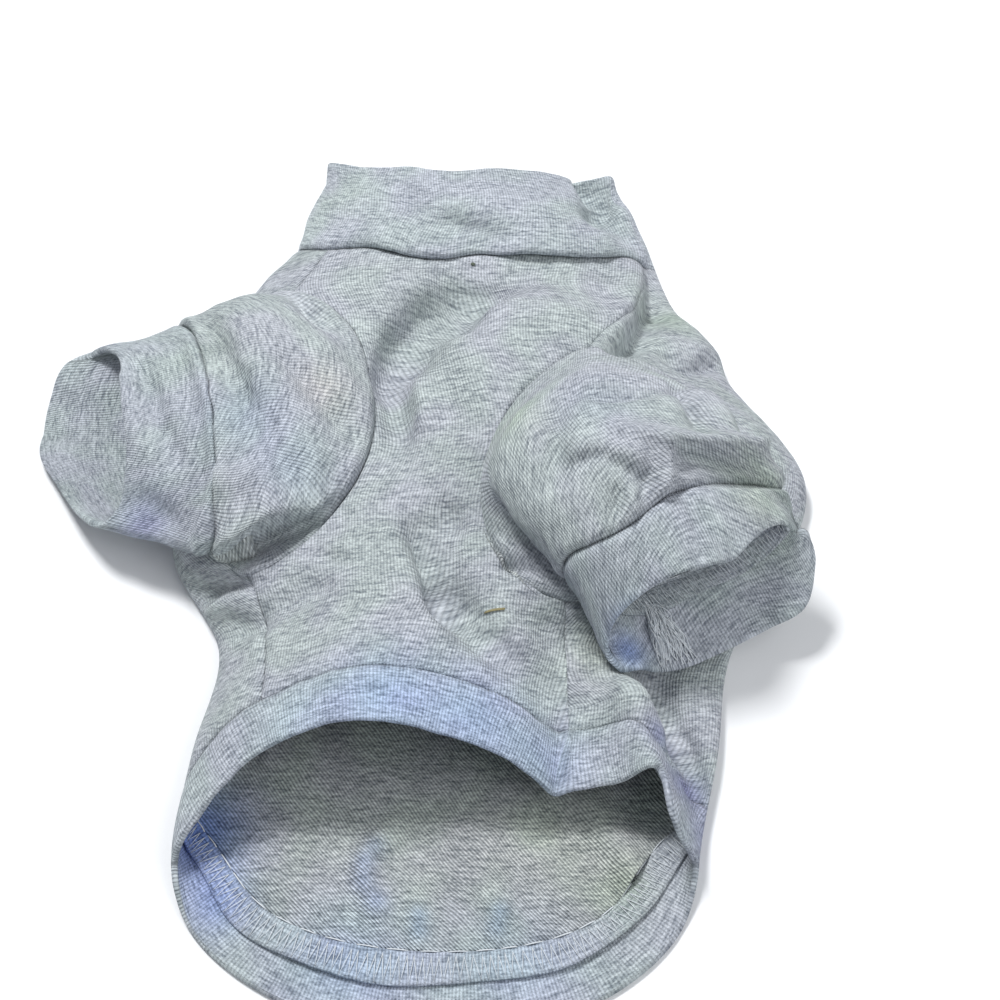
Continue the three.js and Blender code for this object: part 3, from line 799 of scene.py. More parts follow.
@dataclass
class TintAndShade:
    """Soft round patches on the plan that change the cloth's colour: the cloth's own faint hues, and painted
    shade in creases, valleys, hollows and on the sleeves' shaded faces.

    Each row is x, y, reach, hue and share.
    """

    rows: list[tuple[float, float, float, str, float]] = field(default_factory=list)

    def colours(self, points: Array) -> Array:
        """The factor on the yarn's colour at each point."""
        factor = np.ones(points.shape[:-1] + (4,))
        for x, y, reach, hue, share in self.rows:
            patch = np.array(linear(hue)[:3]) / np.array(linear("#aab2b8")[:3])
            away = np.hypot(points[..., 0] - x, points[..., 1] - y) / reach
            weight = (share * np.exp(-(away**2)))[..., None]
            factor[..., :3] *= 1 + weight * (patch - 1)
        return factor


# The dark violet patches along the valley of the right flank, beside the hem, are painted shade; the others
# tint the hem band blue and the chest and collar faintly green.
OUTSIDE_TINT_AND_SHADE = TintAndShade(
    [
        (-34, -84, 15, "#9eb1cf", 0.8), (-8, -88, 16, "#9cb0d2", 0.7), (14, -97, 12, "#9cafcc", 0.5),
        (-58, -90, 14, "#a4b3c6", 0.6), (49, -88, 5, "#7f88a6", 0.8), (57, -101, 7, "#7b80a4", 0.9),
        (65, -116, 9, "#8084a8", 0.8), (62, 78, 10, "#a8b7ae", 0.6), (-60, 128, 14, "#abb6b2", 0.4),
        (30, -60, 10, "#a9b2a6", 0.4),
    ]
)
# The deep blue patches at the left wall of the hem opening and the small blue patches along the tail's
# creases are painted shade; the paler blue and green ones tint the tail's inside.
INSIDE_TINT_AND_SHADE = TintAndShade(
    [
        (-93, -112, 15, "#6c88c6", 0.9), (-84, -134, 10, "#8aa1cc", 0.7), (-38, -117, 3.5, "#8fa2be", 0.5),
        (-41, -122, 3.5, "#8fa2be", 0.6), (-41, -128, 3.5, "#8fa2be", 0.5),
        (-37, -134, 3.5, "#93a7c4", 0.5), (-24, -138, 3, "#93a7c4", 0.5), (-24, -143, 3, "#93a7c4", 0.5),
        (0, -137, 3, "#93a7c4", 0.5), (-1, -142, 3, "#93a7c4", 0.4), (-44, -152, 20, "#a3b5cf", 0.7),
        (4, -152, 20, "#a3b3c9", 0.6), (40, -128, 9, "#9ca79f", 0.5), (20, -118, 26, "#a6afaa", 0.5),
    ]
)
# The blue and blue-grey patches are painted shade on the sleeves' shaded faces and undersides, and low on the
# right sleeve by the body; the greenish and grey ones are the cloth's own hue.
SLEEVE_TINT_AND_SHADE = {
    Side.LEFT: TintAndShade(
        [
            (-116, -14, 9, "#9397ba", 0.7), (-82, 14, 14, "#9eabbb", 0.7), (-66, -4, 12, "#a0acbd", 0.6),
            (-104, 42, 10, "#a6b4ae", 0.5), (-58, 28, 9, "#b2b3b0", 0.6),
        ]
    ),
    Side.RIGHT: TintAndShade(
        [
            (6, 6, 12, "#a9b8ad", 0.6), (30, 8, 14, "#a0a9b6", 0.7), (80, -20, 10, "#b0bdb1", 0.7),
            (40, -61, 6, "#6d86c0", 0.7),
        ]
    ),
}


def merged(vertices: Array, faces: list[list[int]]) -> bpy.types.Mesh:
    """A mesh of points given in garment mm, in the row's frame in metres."""
    mesh = bpy.data.meshes.new("cloth")
    mesh.from_pydata(((vertices + ORIGIN) * MM).tolist(), [], faces)
    return mesh


def place_piece(name: str, mesh: bpy.types.Mesh) -> bpy.types.Object:
    """An object for a finished mesh."""
    mesh.name = name
    mesh.polygons.foreach_set("use_smooth", np.ones(len(mesh.polygons), bool))
    mesh.update()
    piece = bpy.data.objects.new(name, mesh)
    bpy.context.scene.collection.objects.link(piece)
    return piece


@dataclass
class Shell:
    """A wall of cloth from a grid of its outer points: rows along the wales, columns round the courses."""

    name: str
    outer: Array
    cloth: Array  # where each point lies on the flat cloth; a closed wall has one column more
    thickness: float
    closed: bool = False
    fold_first: bool = False  # the first row is a folded edge
    fold_last: bool = False
    fold_steps: int = 6
    eases: int = 14  # rounds that even out the wall's direction where the cloth is pinched
    right: TintAndShade = field(default_factory=TintAndShade)
    wrong: TintAndShade = field(default_factory=TintAndShade)

    def stations(self) -> tuple[Array, Array, Array, Array]:
        """The way round the wall's section.

        Returns:
            Each step's row, its turn from the outer face, the end of the cloth that it leans to, and whether
            it lies on the inner face.
        """
        n = len(self.outer)
        turns = [math.pi * k / self.fold_steps for k in range(1, self.fold_steps)]
        way = [(i, 0.0, 1.0, 0) for i in range(n)]
        if self.fold_last:
            way += [(n - 1, t, 1.0, 0) for t in turns]
        way += [(i, math.pi, 1.0, 1) for i in range(n - 1, -1, -1)]
        if self.fold_first:
            way += [(0, t, -1.0, 0) for t in reversed(turns)]
        rows, turned, ends, inner = (np.array(c) for c in zip(*way))
        return rows.astype(int), turned, ends, inner.astype(bool)

    def build(self, right: bpy.types.Material, wrong: bpy.types.Material) -> bpy.types.Object:
        """Makes the piece.

        Args:
            right: The finish of the outer face and the edges.
            wrong: The finish of the inner face.

        Returns:
            The piece, in metres in the row's frame.
        """
        grid, half = self.outer, self.thickness / 2
        normals = unit(evened(grid_normals(grid, self.closed), self.eases, self.closed))
        rows, turn, end, inner = self.stations()
        beyond = np.where((end > 0)[:, None, None], unit(grid[-1] - grid[-2]), unit(grid[0] - grid[1]))
        lift = (half * (1 - np.cos(turn)))[:, None, None]
        ring = grid[rows] - normals[rows] * lift + beyond * (half * np.sin(turn))[:, None, None]
        n, m = ring.shape[:2]
        last = m if self.closed else m - 1
        index = np.arange(n * m).reshape(n, m)
        down = np.roll(index, -1, axis=0)
        right_of, right_down = np.roll(index, -1, axis=1), np.roll(down, -1, axis=1)
        faces = np.stack([a[:, :last] for a in (index, down, right_down, right_of)], axis=-1).reshape(-1, 4)
        cloth = self.cloth[rows].copy()
        cloth[..., 1] += (end * half * np.minimum(turn, math.pi / 2))[:, None]
        corner = np.roll(cloth, -1, axis=0)
        uv = np.stack(
            [cloth[:, :last], corner[:, :last], corner[:, 1 : last + 1], cloth[:, 1 : last + 1]], axis=2
        ).reshape(-1, 2)
        slots = np.repeat(inner & np.roll(inner, -1), last)
        if not self.closed:
            k = np.arange(len(grid) - 1)
            for column, flip in ((0, 1), (m - 1, -1)):
                ks = np.stack([k, n - 1 - k, n - 2 - k, k + 1], axis=-1)[:, ::flip]
                faces = np.concatenate([faces, index[ks, column]])
                uv = np.concatenate([uv, cloth[ks, column].reshape(-1, 2)])
            slots = np.concatenate([slots, np.zeros(len(faces) - len(slots), bool)])
        mesh = merged(ring.reshape(-1, 3), faces.tolist())
        mesh.uv_layers.new(name="cloth").data.foreach_set("uv", uv.ravel())
        # Each face takes its patches: tints of the cloth's own hue, and painted shade.
        colours = np.where(inner[:, None, None], self.wrong.colours(ring), self.right.colours(ring))
        mesh.color_attributes.new("tint_and_shade", "FLOAT_COLOR", "POINT").data.foreach_set("color", colours.ravel())
        mesh.materials.append(right)
        mesh.materials.append(wrong)
        mesh.polygons.foreach_set("material_index", slots.astype(np.int32))
        return place_piece(self.name, mesh)


def strip_cloth(grid: Array, closed: bool) -> Array:
    """Cloth coordinates of a strip: wales straight across it, measured round its middle row."""
    wide = np.concatenate([grid, grid[:, :1]], axis=1) if closed else grid
    around = arc_lengths(wide, 1).mean(axis=0)
    along = arc_lengths(wide, 0)
    waves = np.fft.rfft(along[:, :-1] if closed else along, axis=1)
    waves[:, 3:] = 0
    smooth = np.fft.irfft(waves, along.shape[1] - (1 if closed else 0), axis=1)
    along = np.concatenate([smooth, smooth[:, :1]], axis=1) if closed else smooth
    return np.stack([np.broadcast_to(around, along.shape), along], axis=-1)


def threads(name: str, paths: list[Array], radius: float, material: bpy.types.Material) -> bpy.types.Object:
    """Sewing threads as thin round cords.

    Args:
        name: The piece's name.
        paths: Each thread's points, in garment mm.
        radius: Half of a thread's thickness, in mm.
        material: The finish.

    Returns:
        The piece.
    """
    sides, vertices, faces = 5, [], []
    for path in paths:
        path = np.asarray(path, float)
        tangent = unit(np.gradient(path, axis=0))
        side = unit(np.cross(tangent, np.array([0.13, 0.07, 1.0])))
        up = np.cross(side, tangent)
        turn = TURN * np.arange(sides) / sides
        start = sum(len(v) for v in vertices)
        ring = path[:, None] + radius * (
            np.cos(turn)[None, :, None] * side[:, None] + np.sin(turn)[None, :, None] * up[:, None]
        )
        vertices.append(ring.reshape(-1, 3))
        index = start + np.arange(len(path) * sides).reshape(-1, sides)
        nxt = np.roll(index, -1, axis=1)
        faces += np.stack([index[:-1], nxt[:-1], nxt[1:], index[1:]], axis=-1).reshape(-1, 4).tolist()
        faces += [index[0, ::-1].tolist(), index[-1].tolist()]
    mesh = merged(np.concatenate(vertices), faces)
    mesh.materials.append(material)
    return place_piece(name, mesh)


def show(piece: bpy.types.Object, nodes: tuple[str, ...] = ()) -> None:
    """Puts a finished piece on the shirt.

    Args:
        piece: The piece.
        nodes: The frame's nodes that it stands for.
    """
    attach(piece, "root")
    if nodes:
        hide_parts(*nodes)
    LOG.info("%s: %d faces", piece.name, len(piece.data.polygons))


# ----------------------------------------------------------------------------------------- the tube


@dataclass
class Rows:
    """A grid of places on the tube."""

    angle: Array
    y: Array

    def fine(self, along: int, around: int, closed: bool) -> "Rows":
        """The same grid with more rows and columns."""
        angle = refined(self.angle.T, around, TURN if closed else None).T
        y = refined(self.y.T, around, 0.0 if closed else None).T
        if along > 1:
            angle, y = refined(angle, along), refined(y, along)
        return Rows(angle, y)


@dataclass
class Tube:
    """The body of the shirt: where its hem band, panels and collar lie."""

    form: BodyForm = field(default_factory=BodyForm)
    hem_width: float = 18.0
    tail_hem_share: float = 0.33  # how much wider the band lies under the tail, where it is pulled flat
    hem_rows: int = 3
    hem_fine_rows: int = 4
    hem_relax: float = 0.3
    side_rows: tuple[int, int, int] = (6, 16, 3)  # hem, armhole, shoulder
    side_bend: float = 3.5
    side_pull: float = 1.6
    panel_ease: int = 8
    corner: float = 26  # the turn in degrees at which the hem's seam bends most
    corner_reach: float = 16
    corner_relax: float = 0.6
    most_relax: float = 0.8
    middle: tuple[float, float] = (0.21, 0.94)
    collar_height: float = 37.0
    collar_corner: float = 5.0
    collar_slant: float = 1.5
    collar_rows: int = 5

    def hem_edge_row(self) -> Rows:
        """The hem's edge, from the right side seam over the chest and round the back."""
        turns = [a + (b - a) * j / count for a, b, count in [*CHEST_SPANS, *BACK_SPANS] for j in range(count)]
        angle = np.radians(turns)
        return Rows(angle, self.form.hem_edge(angle))

    @staticmethod
    def beside(row: Array, lap: float) -> tuple[Array, Array]:
        """The values before and after each one of a closed row."""
        before, after = np.roll(row, 1), np.roll(row, -1)
        before[0] -= lap
        after[-1] += lap
        return before, after

    def inward_row(self, row: Rows, step: float) -> Rows:
        """A closed row moved inwards along the cloth, square to itself."""
        form = self.form
        a0, a1 = self.beside(row.angle, TURN)
        y0, y1 = self.beside(row.y, 0.0)
        tangent = form.point(a1, y1) - form.point(a0, y0)
        wide = step * (1 + self.tail_hem_share * np.clip(-np.sin(row.angle), 0, 1) ** 4)
        inward = unit(np.cross(tangent, form.normal(row.angle, row.y))) * wide[:, None]
        d = 1e-3
        start = form.point(row.angle, row.y)
        per_angle = (form.point(row.angle + d, row.y) - start) / d
        per_y = (form.point(row.angle, row.y + d) - start) / d
        pairs = ((per_angle, per_angle), (per_angle, per_y), (per_y, per_y))
        aa, ay, yy = ((p * q).sum(-1) for p, q in pairs)
        ia, iy = (inward * per_angle).sum(-1), (inward * per_y).sum(-1)
        det = aa * yy - ay * ay
        return Rows(row.angle + (ia * yy - iy * ay) / det, row.y + (iy * aa - ia * ay) / det)

    def relaxed(self, row: Rows) -> Rows:
        """A closed row drawn towards the middle of its neighbours, most of all at the arch's corner."""
        a0, a1 = self.beside(row.angle, TURN)
        y0, y1 = self.beside(row.y, 0.0)
        turn = np.degrees((row.angle + math.pi) % TURN - math.pi)
        share = self.hem_relax * share_between(np.sin(row.angle), -0.6, 0.3)
        share = share + self.corner_relax * np.exp(-(((turn - self.corner) / self.corner_reach) ** 2))
        share = np.minimum(share, self.most_relax)
        return Rows(lerp(row.angle, (a0 + a1) / 2, share), lerp(row.y, (y0 + y1) / 2, share))

    def hem_band(self) -> Rows:
        """Every small step of the hem band, from its folded edge to its seam."""
        steps = self.hem_rows * self.hem_fine_rows
        rows = [self.hem_edge_row()]
        for _ in range(steps):
            rows.append(self.inward_row(self.relaxed(rows[-1]), self.hem_width / steps))
        return Rows(np.stack([r.angle for r in rows]), np.stack([r.y for r in rows]))

    def outline(self, side: Side, turn: Array) -> tuple[Array, Array]:
        """The armhole's outline on the plan; turn runs from its foot, by the chest, to its head and back."""
        hole = ARMHOLES[side]
        (fx, fy), (hx, hy) = hole["foot"], hole["head"]
        t, across = (1 - np.cos(turn)) / 2, np.sin(turn)
        bite = np.where(across > 0, hole["chest"], hole["back"])
        drop = np.where(across > 0, hole["chest_drop"], -hole["back_drop"])
        return lerp(fx, hx, t) + side.value * bite * across, lerp(fy, hy, t - drop * 2 * t * across)

    def side_line(self, side: Side, to_chest: int, start: tuple[float, float]) -> Rows:
        """A panel's side line: side seam, armhole and shoulder seam."""
        hole = ARMHOLES[side]
        (fx, fy), (hx, hy) = hole["foot"], hole["head"]
        neck_x = hole["neck_x"]
        start_x = float(self.form.point(np.array(start[0]), np.array(start[1]))[0])
        neck_y = float(self.form.neck_seam(self.form.angle_at(np.array(neck_x), np.array(104.0))))
        hem, arm, shoulder = self.side_rows
        i = np.arange(hem) / hem
        turn = math.pi * np.arange(arm + 1) / arm
        arm_x, arm_y = self.outline(side, turn * to_chest)
        j = np.arange(1, shoulder + 1) / shoulder
        bow = hole["shoulder_bow"] * np.sin(math.pi * j)
        x = np.concatenate([lerp(start_x, fx, i**self.side_bend), arm_x, lerp(hx, neck_x, j) + bow])
        y = np.concatenate([lerp(start[1], fy, i), arm_y, lerp(hy, neck_y, j)])
        return Rows(self.form.angle_at(x, y), y)

    def middle_share(self, i: int) -> float:
        """How far a panel's row has come from hem to neck in the middle of the panel."""
        hem, arm, shoulder = self.side_rows
        foot, head = self.middle
        if i <= hem:
            return foot * i / hem
        if i <= hem + arm:
            return lerp(foot, head, (i - hem) / arm)
        return lerp(head, 1.0, (i - hem - arm) / shoulder)

    def panel(self, start: Rows, end: Rows, hem: Rows) -> Rows:
        """A panel between two side lines, from the hem band to the neck."""
        s = np.linspace(0, 1, len(hem.angle))
        bow = hem.angle - lerp(hem.angle[0], hem.angle[-1], s)
        neck_y = self.form.neck_seam(lerp(start.angle[-1], end.angle[-1], s))
        angles, ys = [], []
        for i in range(len(start.y)):
            v = self.middle_share(i)
            start_share = (start.y[i] - start.y[0]) / (start.y[-1] - start.y[0])
            end_share = (end.y[i] - end.y[0]) / (end.y[-1] - end.y[0])
            pull = (start_share - v) * (1 - s) ** self.side_pull + (end_share - v) * s**self.side_pull
            angles.append(lerp(start.angle[i], end.angle[i], s) + (1 - v) * bow)
            ys.append(lerp(hem.y, neck_y, v + pull))
        ease = self.panel_ease
        return Rows(eased(np.stack(angles), ease, closed=False), eased(np.stack(ys), ease, closed=False))

    def panels(self) -> tuple[Rows, Rows]:
        """The chest panel and the back panel, which share the hem band's seam."""
        band = self.hem_band()
        angle, y = band.angle[-1], band.y[-1]
        angle, y = np.append(angle, angle[0] + TURN), np.append(y, y[0])
        count = sum(c for _, _, c in CHEST_SPANS)
        chest_hem, back_hem = Rows(angle[: count + 1], y[: count + 1]), Rows(angle[count:], y[count:])
        right, left = (chest_hem.angle[0], chest_hem.y[0]), (back_hem.angle[0], back_hem.y[0])
        start, end = self.side_line(Side.RIGHT, 1, right), self.side_line(Side.LEFT, 1, left)
        chest = self.panel(start, end, chest_hem)
        start, end = self.side_line(Side.LEFT, -1, left), self.side_line(Side.RIGHT, -1, right)
        back = self.panel(start, Rows(end.angle + TURN, end.y), back_hem)
        return chest, back

    def collar(self) -> Rows:
        """The collar, from the neck seam to its fold."""
        chest, back = self.panels()
        angle = np.concatenate([chest.angle[-1][:-1], back.angle[-1][:-1]])
        across = np.cos(angle)
        height = self.collar_height + self.collar_corner * across**4 - self.collar_slant * across
        up = np.linspace(0, 1, self.collar_rows + 1)[:, None]
        return Rows(np.broadcast_to(angle, (len(up), len(angle))), self.form.neck_seam(angle) + height * up)

    def armhole(self, side: Side) -> Array:
        """The armhole as a closed row of points."""
        count = 2 * self.side_rows[1]
        start = math.pi if side is Side.LEFT else math.pi / 2
        turn = start - side.value * TURN * np.arange(count) / count
        x, y = self.outline(side, (turn + math.pi) % TURN - math.pi)
        return self.form.point(self.form.angle_at(x, y), y)

    def creased(self, rows: Rows) -> tuple[Array, Array]:
        """The upper cloth with its creases.

        Args:
            rows: Places on the tube.

        Returns:
            The creased points, and how far each moves out for a further rise of 1 mm.
        """
        grid = self.form.point(rows.angle, rows.y)
        upper = share_between(np.sin(rows.angle), 0.0, 0.35)[..., None]
        out = self.form.normal(rows.angle, rows.y) * upper
        creased = grid + Laps(BODY_LAPS).shift(grid) * upper + self.rise(grid)[..., None] * out
        creased[..., 2:] = np.maximum(creased[..., 2:], 4.0 * upper)
        return creased, out

    @staticmethod
    def rise(grid: Array) -> Array:
        """The creases of the body's upper cloth."""
        return Creases(BODY_CREASES).rise(grid) + CRUMPLE.rise(grid)


CRUMPLE = Crumple(seed=5)


# ----------------------------------------------------------------------------------------- the pieces


def seam_dips(grid: Array, depth: float = 0.9, width: float = 1.4) -> Array:
    """How far a panel sinks towards the seams at all its four edges."""
    along, around = arc_lengths(grid, 0), arc_lengths(grid, 1)
    ends = (along, along[-1] - along, around, around[:, -1:] - around)
    return np.minimum.reduce([groove(d, depth, width) for d in ends])


@dataclass
class ChestPanel:
    """The short front panel, uppermost as the shirt lies."""

    tube: Tube
    thickness: float = 1.2
    along: int = 6
    around: int = 6
    cut: tuple[float, float] = (0.150, 0.190)
    cut_area: float = 0.0150

    def build(self, wardrobe: Wardrobe) -> bpy.types.Object:
        """Makes the panel."""
        rows = self.tube.panels()[0].fine(self.along, self.around, closed=False)
        grid, out = self.tube.creased(rows)
        grid += seam_dips(grid)[..., None] * out
        cloth = self.tube.form.cloth(rows.angle, rows.y, math.pi / 2)
        shell = Shell("chest_panel_cloth", grid, cloth, self.thickness, right=OUTSIDE_TINT_AND_SHADE)
        return shell.build(wardrobe.right_side, wardrobe.wrong_side)

    def dress(self, piece: bpy.types.Object) -> None:
        """Puts the panel on the shirt."""
        show(piece, ("chest_panel",))


@dataclass
class BackPanel:
    """The long back panel with its round tail, which lies on the surface and wraps up both sides."""

    tube: Tube
    thickness: float = 1.2
    along: int = 6
    around: int = 5
    cut: tuple[float, float] = (0.305, 0.270)
    cut_area: float = 0.0600

    def build(self, wardrobe: Wardrobe) -> bpy.types.Object:
        """Makes the panel."""
        rows = self.tube.panels()[1].fine(self.along, self.around, closed=False)
        grid, out = self.tube.creased(rows)
        grid += seam_dips(grid)[..., None] * out
        lower = share_between(-np.sin(rows.angle), 0.05, 0.5)
        swell = Creases(TAIL_CREASES).rise(grid) + 0.8 * np.abs(CRUMPLE.rise(grid))
        grid[..., 2] += swell * lower
        cloth = self.tube.form.cloth(rows.angle, rows.y, 1.5 * math.pi)
        shell = Shell("back_panel_cloth", grid, cloth, self.thickness, right=OUTSIDE_TINT_AND_SHADE, wrong=INSIDE_TINT_AND_SHADE)
        return shell.build(wardrobe.right_side, wardrobe.wrong_side)

    def dress(self, piece: bpy.types.Object) -> None:
        """Puts the panel on the shirt."""
        show(piece, ("back_panel",))


@dataclass
class Allowance:
    """A seam's pressed allowance inside a band, with its overlock and the stitches along the seam."""

    name: str
    cut: tuple[float, float]
    width: float = 9.5
    thickness: float = 0.9
    lift: float = 1.3  # how far its free edge stands off, in mm
    loop_pitch: float = 2.4  # mm between the overlock's legs
    stitch: float = 5.5
    stitch_gap: float = 2.6
    eases: int = 22  # rounds that even out the band where it is pinched
    seed: int = 21

    def build(self, wall: Array, thickness: float, wardrobe: Wardrobe) -> list[bpy.types.Object]:
        """Makes the ribbon and its threads.

        Args:
            wall: The band's outer points, from the seam outwards, wound so that their normals point inwards.
            thickness: The band's thickness.
            wardrobe: The finishes.

        Returns:
            The ribbon, the overlock and the running stitches.
        """
        normals = unit(evened(-grid_normals(wall, closed=True), 5 * self.eases, closed=True))
        wall = evened(wall, self.eases, closed=True)
        out = arc_lengths(wall, 0)
        inner = wall - normals * (thickness + 0.2)
        place = np.arange(wall.shape[1])
        wander = 1 + 0.1 * np.sin(place * TURN / 97) + 0.06 * np.sin(place * TURN / 31 + 1)
        steps = np.linspace(0, 1, 7)
        reach = np.minimum(self.width * wander, out[-1] - 0.5)
        strip = np.stack([self.at(inner, out, s * reach) for s in steps])
        inwards = -self.at(normals, out, 0.5 * reach)
        lifts = (0.15 + self.lift * steps**2)[:, None] * (1 + 0.35 * np.sin(place * TURN / 53 + 2))
        strip = strip + inwards * lifts[..., None]
        ribbon = Shell(
            f"{self.name}_allowance_cloth",
            strip,
            strip_cloth(strip, True),
            self.thickness,
            closed=True,
            right=INSIDE_TINT_AND_SHADE,
            wrong=INSIDE_TINT_AND_SHADE,
        ).build(wardrobe.band, wardrobe.band)
        top = strip + inwards * 0.12
        around = np.append(0, np.cumsum(np.linalg.norm(np.diff(top[0], axis=0), axis=-1)))
        overlock = self.overlock(top[-1], top[0], inwards, around)
        running = self.running(top[0], inwards, around)
        return [
            ribbon,
            threads(f"{self.name}_overlock_thread", overlock, 0.11, wardrobe.thread),
            threads(f"{self.name}_running_thread", running, 0.2, wardrobe.thread),
        ]

    @staticmethod
    def at(values: Array, along: Array, place: Array) -> Array:
        """Values read off a grid at a distance along each column."""
        out = np.empty(values.shape[1:])
        for j in range(values.shape[1]):
            for axis in range(values.shape[2]):
                out[j, axis] = np.interp(place[j], along[:, j], values[:, j, axis])
        return out

    @staticmethod
    def on(line: Array, around: Array, place: float) -> Array:
        """The point of a line at a distance round it."""
        return np.array([np.interp(place, around, line[:, axis]) for axis in range(3)])

    def overlock(self, edge: Array, seam: Array, inwards: Array, around: Array) -> list[Array]:
        """The overlock's uneven legs between the seam and the free edge.

        Args:
            edge: Points along the allowance's free edge.
            seam: Points along the seam.
            inwards: The way into the shirt at each of them.
            around: How far round the seam each lies.

        Returns:
            The thread's paths.
        """
        rng = np.random.default_rng(self.seed)
        paths, place = [], 0.0
        while place < around[-1] - 2 * self.loop_pitch:
            pitch = self.loop_pitch * (0.8 + 0.4 * rng.random())
            slip = place + pitch * (0.4 + 0.3 * rng.random())
            first, last = 0.12 + 0.1 * rng.random(), 0.9 + 0.12 * rng.random()
            a = lerp(self.on(seam, around, place), self.on(edge, around, place), first)
            b = lerp(self.on(seam, around, slip), self.on(edge, around, slip), last)
            d = lerp(self.on(seam, around, place + pitch), self.on(edge, around, place + pitch), first)
            up = self.on(inwards, around, place) * (0.1 + 0.3 * rng.random())
            paths.append(np.array([a, lerp(a, b, 0.5) + up, b, lerp(b, d, 0.5) + 0.6 * up, d]))
            place += pitch
        return paths

    def running(self, seam: Array, inwards: Array, around: Array) -> list[Array]:
        """The stitches along the seam, each a short arch of thread."""
        rng = np.random.default_rng(self.seed + 1)
        paths, place = [], 1.0
        while place < around[-1] - 1.5 * self.stitch:
            length = self.stitch * (0.8 + 0.4 * rng.random())
            dash = np.stack([self.on(seam, around, place + length * k / 5) for k in range(6)])
            arch = np.sin(math.pi * np.linspace(0, 1, 6))[:, None]
            paths.append(dash + self.on(inwards, around, place) * (0.5 * arch - 0.2))
            place += length + self.stitch_gap * (0.5 + rng.random())
        return paths

    def dress(self, pieces: list[bpy.types.Object], band: str) -> None:
        """Puts the ribbon and its threads on the shirt."""
        for piece in pieces:
            show(piece)


@dataclass
class HemBand:
    """The doubled band round the hem, folded at its edge, with its seam's allowance inside."""

    tube: Tube
    thickness: float = 2.2
    around: int = 5
    cut: tuple[float, float] = (0.465, 0.0190)
    allowance: Allowance = field(default_factory=lambda: Allowance("hem", (0.420, 0.010)))

    def build(self, wardrobe: Wardrobe) -> list[bpy.types.Object]:
        """Makes the band, its allowance and the sewing on it."""
        rows = self.tube.hem_band().fine(1, self.around, closed=True)
        grid, out = self.tube.creased(rows)
        along = arc_lengths(grid, 0)
        grid += groove(along[-1] - along, 0.9, 1.5)[..., None] * out
        band = Shell(
            "hem_band_cloth",
            grid,
            strip_cloth(grid, True),
            self.thickness,
            closed=True,
            fold_first=True,
            right=OUTSIDE_TINT_AND_SHADE,
            wrong=INSIDE_TINT_AND_SHADE,
        ).build(wardrobe.band, wardrobe.band)
        return [band, *self.allowance.build(grid[::-1], self.thickness, wardrobe)]

    def dress(self, pieces: list[bpy.types.Object]) -> None:
        """Puts the band and what is sewn to it on the shirt."""
        band, *sewn = pieces
        show(band, ("hem_band",))
        self.allowance.dress(sewn, band.name)


@dataclass
class Collar:
    """The doubled collar, folded at its top."""

    tube: Tube
    thickness: float = 2.2
    along: int = 7
    around: int = 5
    cut: tuple[float, float] = (0.295, 0.039)

    def build(self, wardrobe: Wardrobe) -> bpy.types.Object:
        """Makes the collar."""
        rows = self.tube.collar().fine(self.along, self.around, closed=True)
        grid, out = self.tube.creased(rows)
        along = arc_lengths(grid, 0)
        x = grid[..., 0]
        slump = 1.2 + 2.2 * share_between(x, -12, 6) * share_between(-x, -46, -36)
        slump += 1.2 * share_between(x, -50, -40) * share_between(-x, 8, 20)
        grid += (groove(along, 2.0, 1.2) + roll(along, 1.0, 3.6) * slump)[..., None] * out
        hang = roll(along, 1.0, 2.2) * (slump - 0.6) * 1.4 * share_between(9 - along, 0, 7)
        grid[..., 1] -= hang * np.linalg.norm(out, axis=-1)
        shell = Shell(
            "collar_cloth",
            grid,
            strip_cloth(grid, True),
            self.thickness,
            closed=True,
            fold_last=True,
            right=OUTSIDE_TINT_AND_SHADE,
        )
        return shell.build(wardrobe.band, wardrobe.band)

    def dress(self, piece: bpy.types.Object) -> None:
        """Puts the collar on the shirt."""
        show(piece, ("collar",))


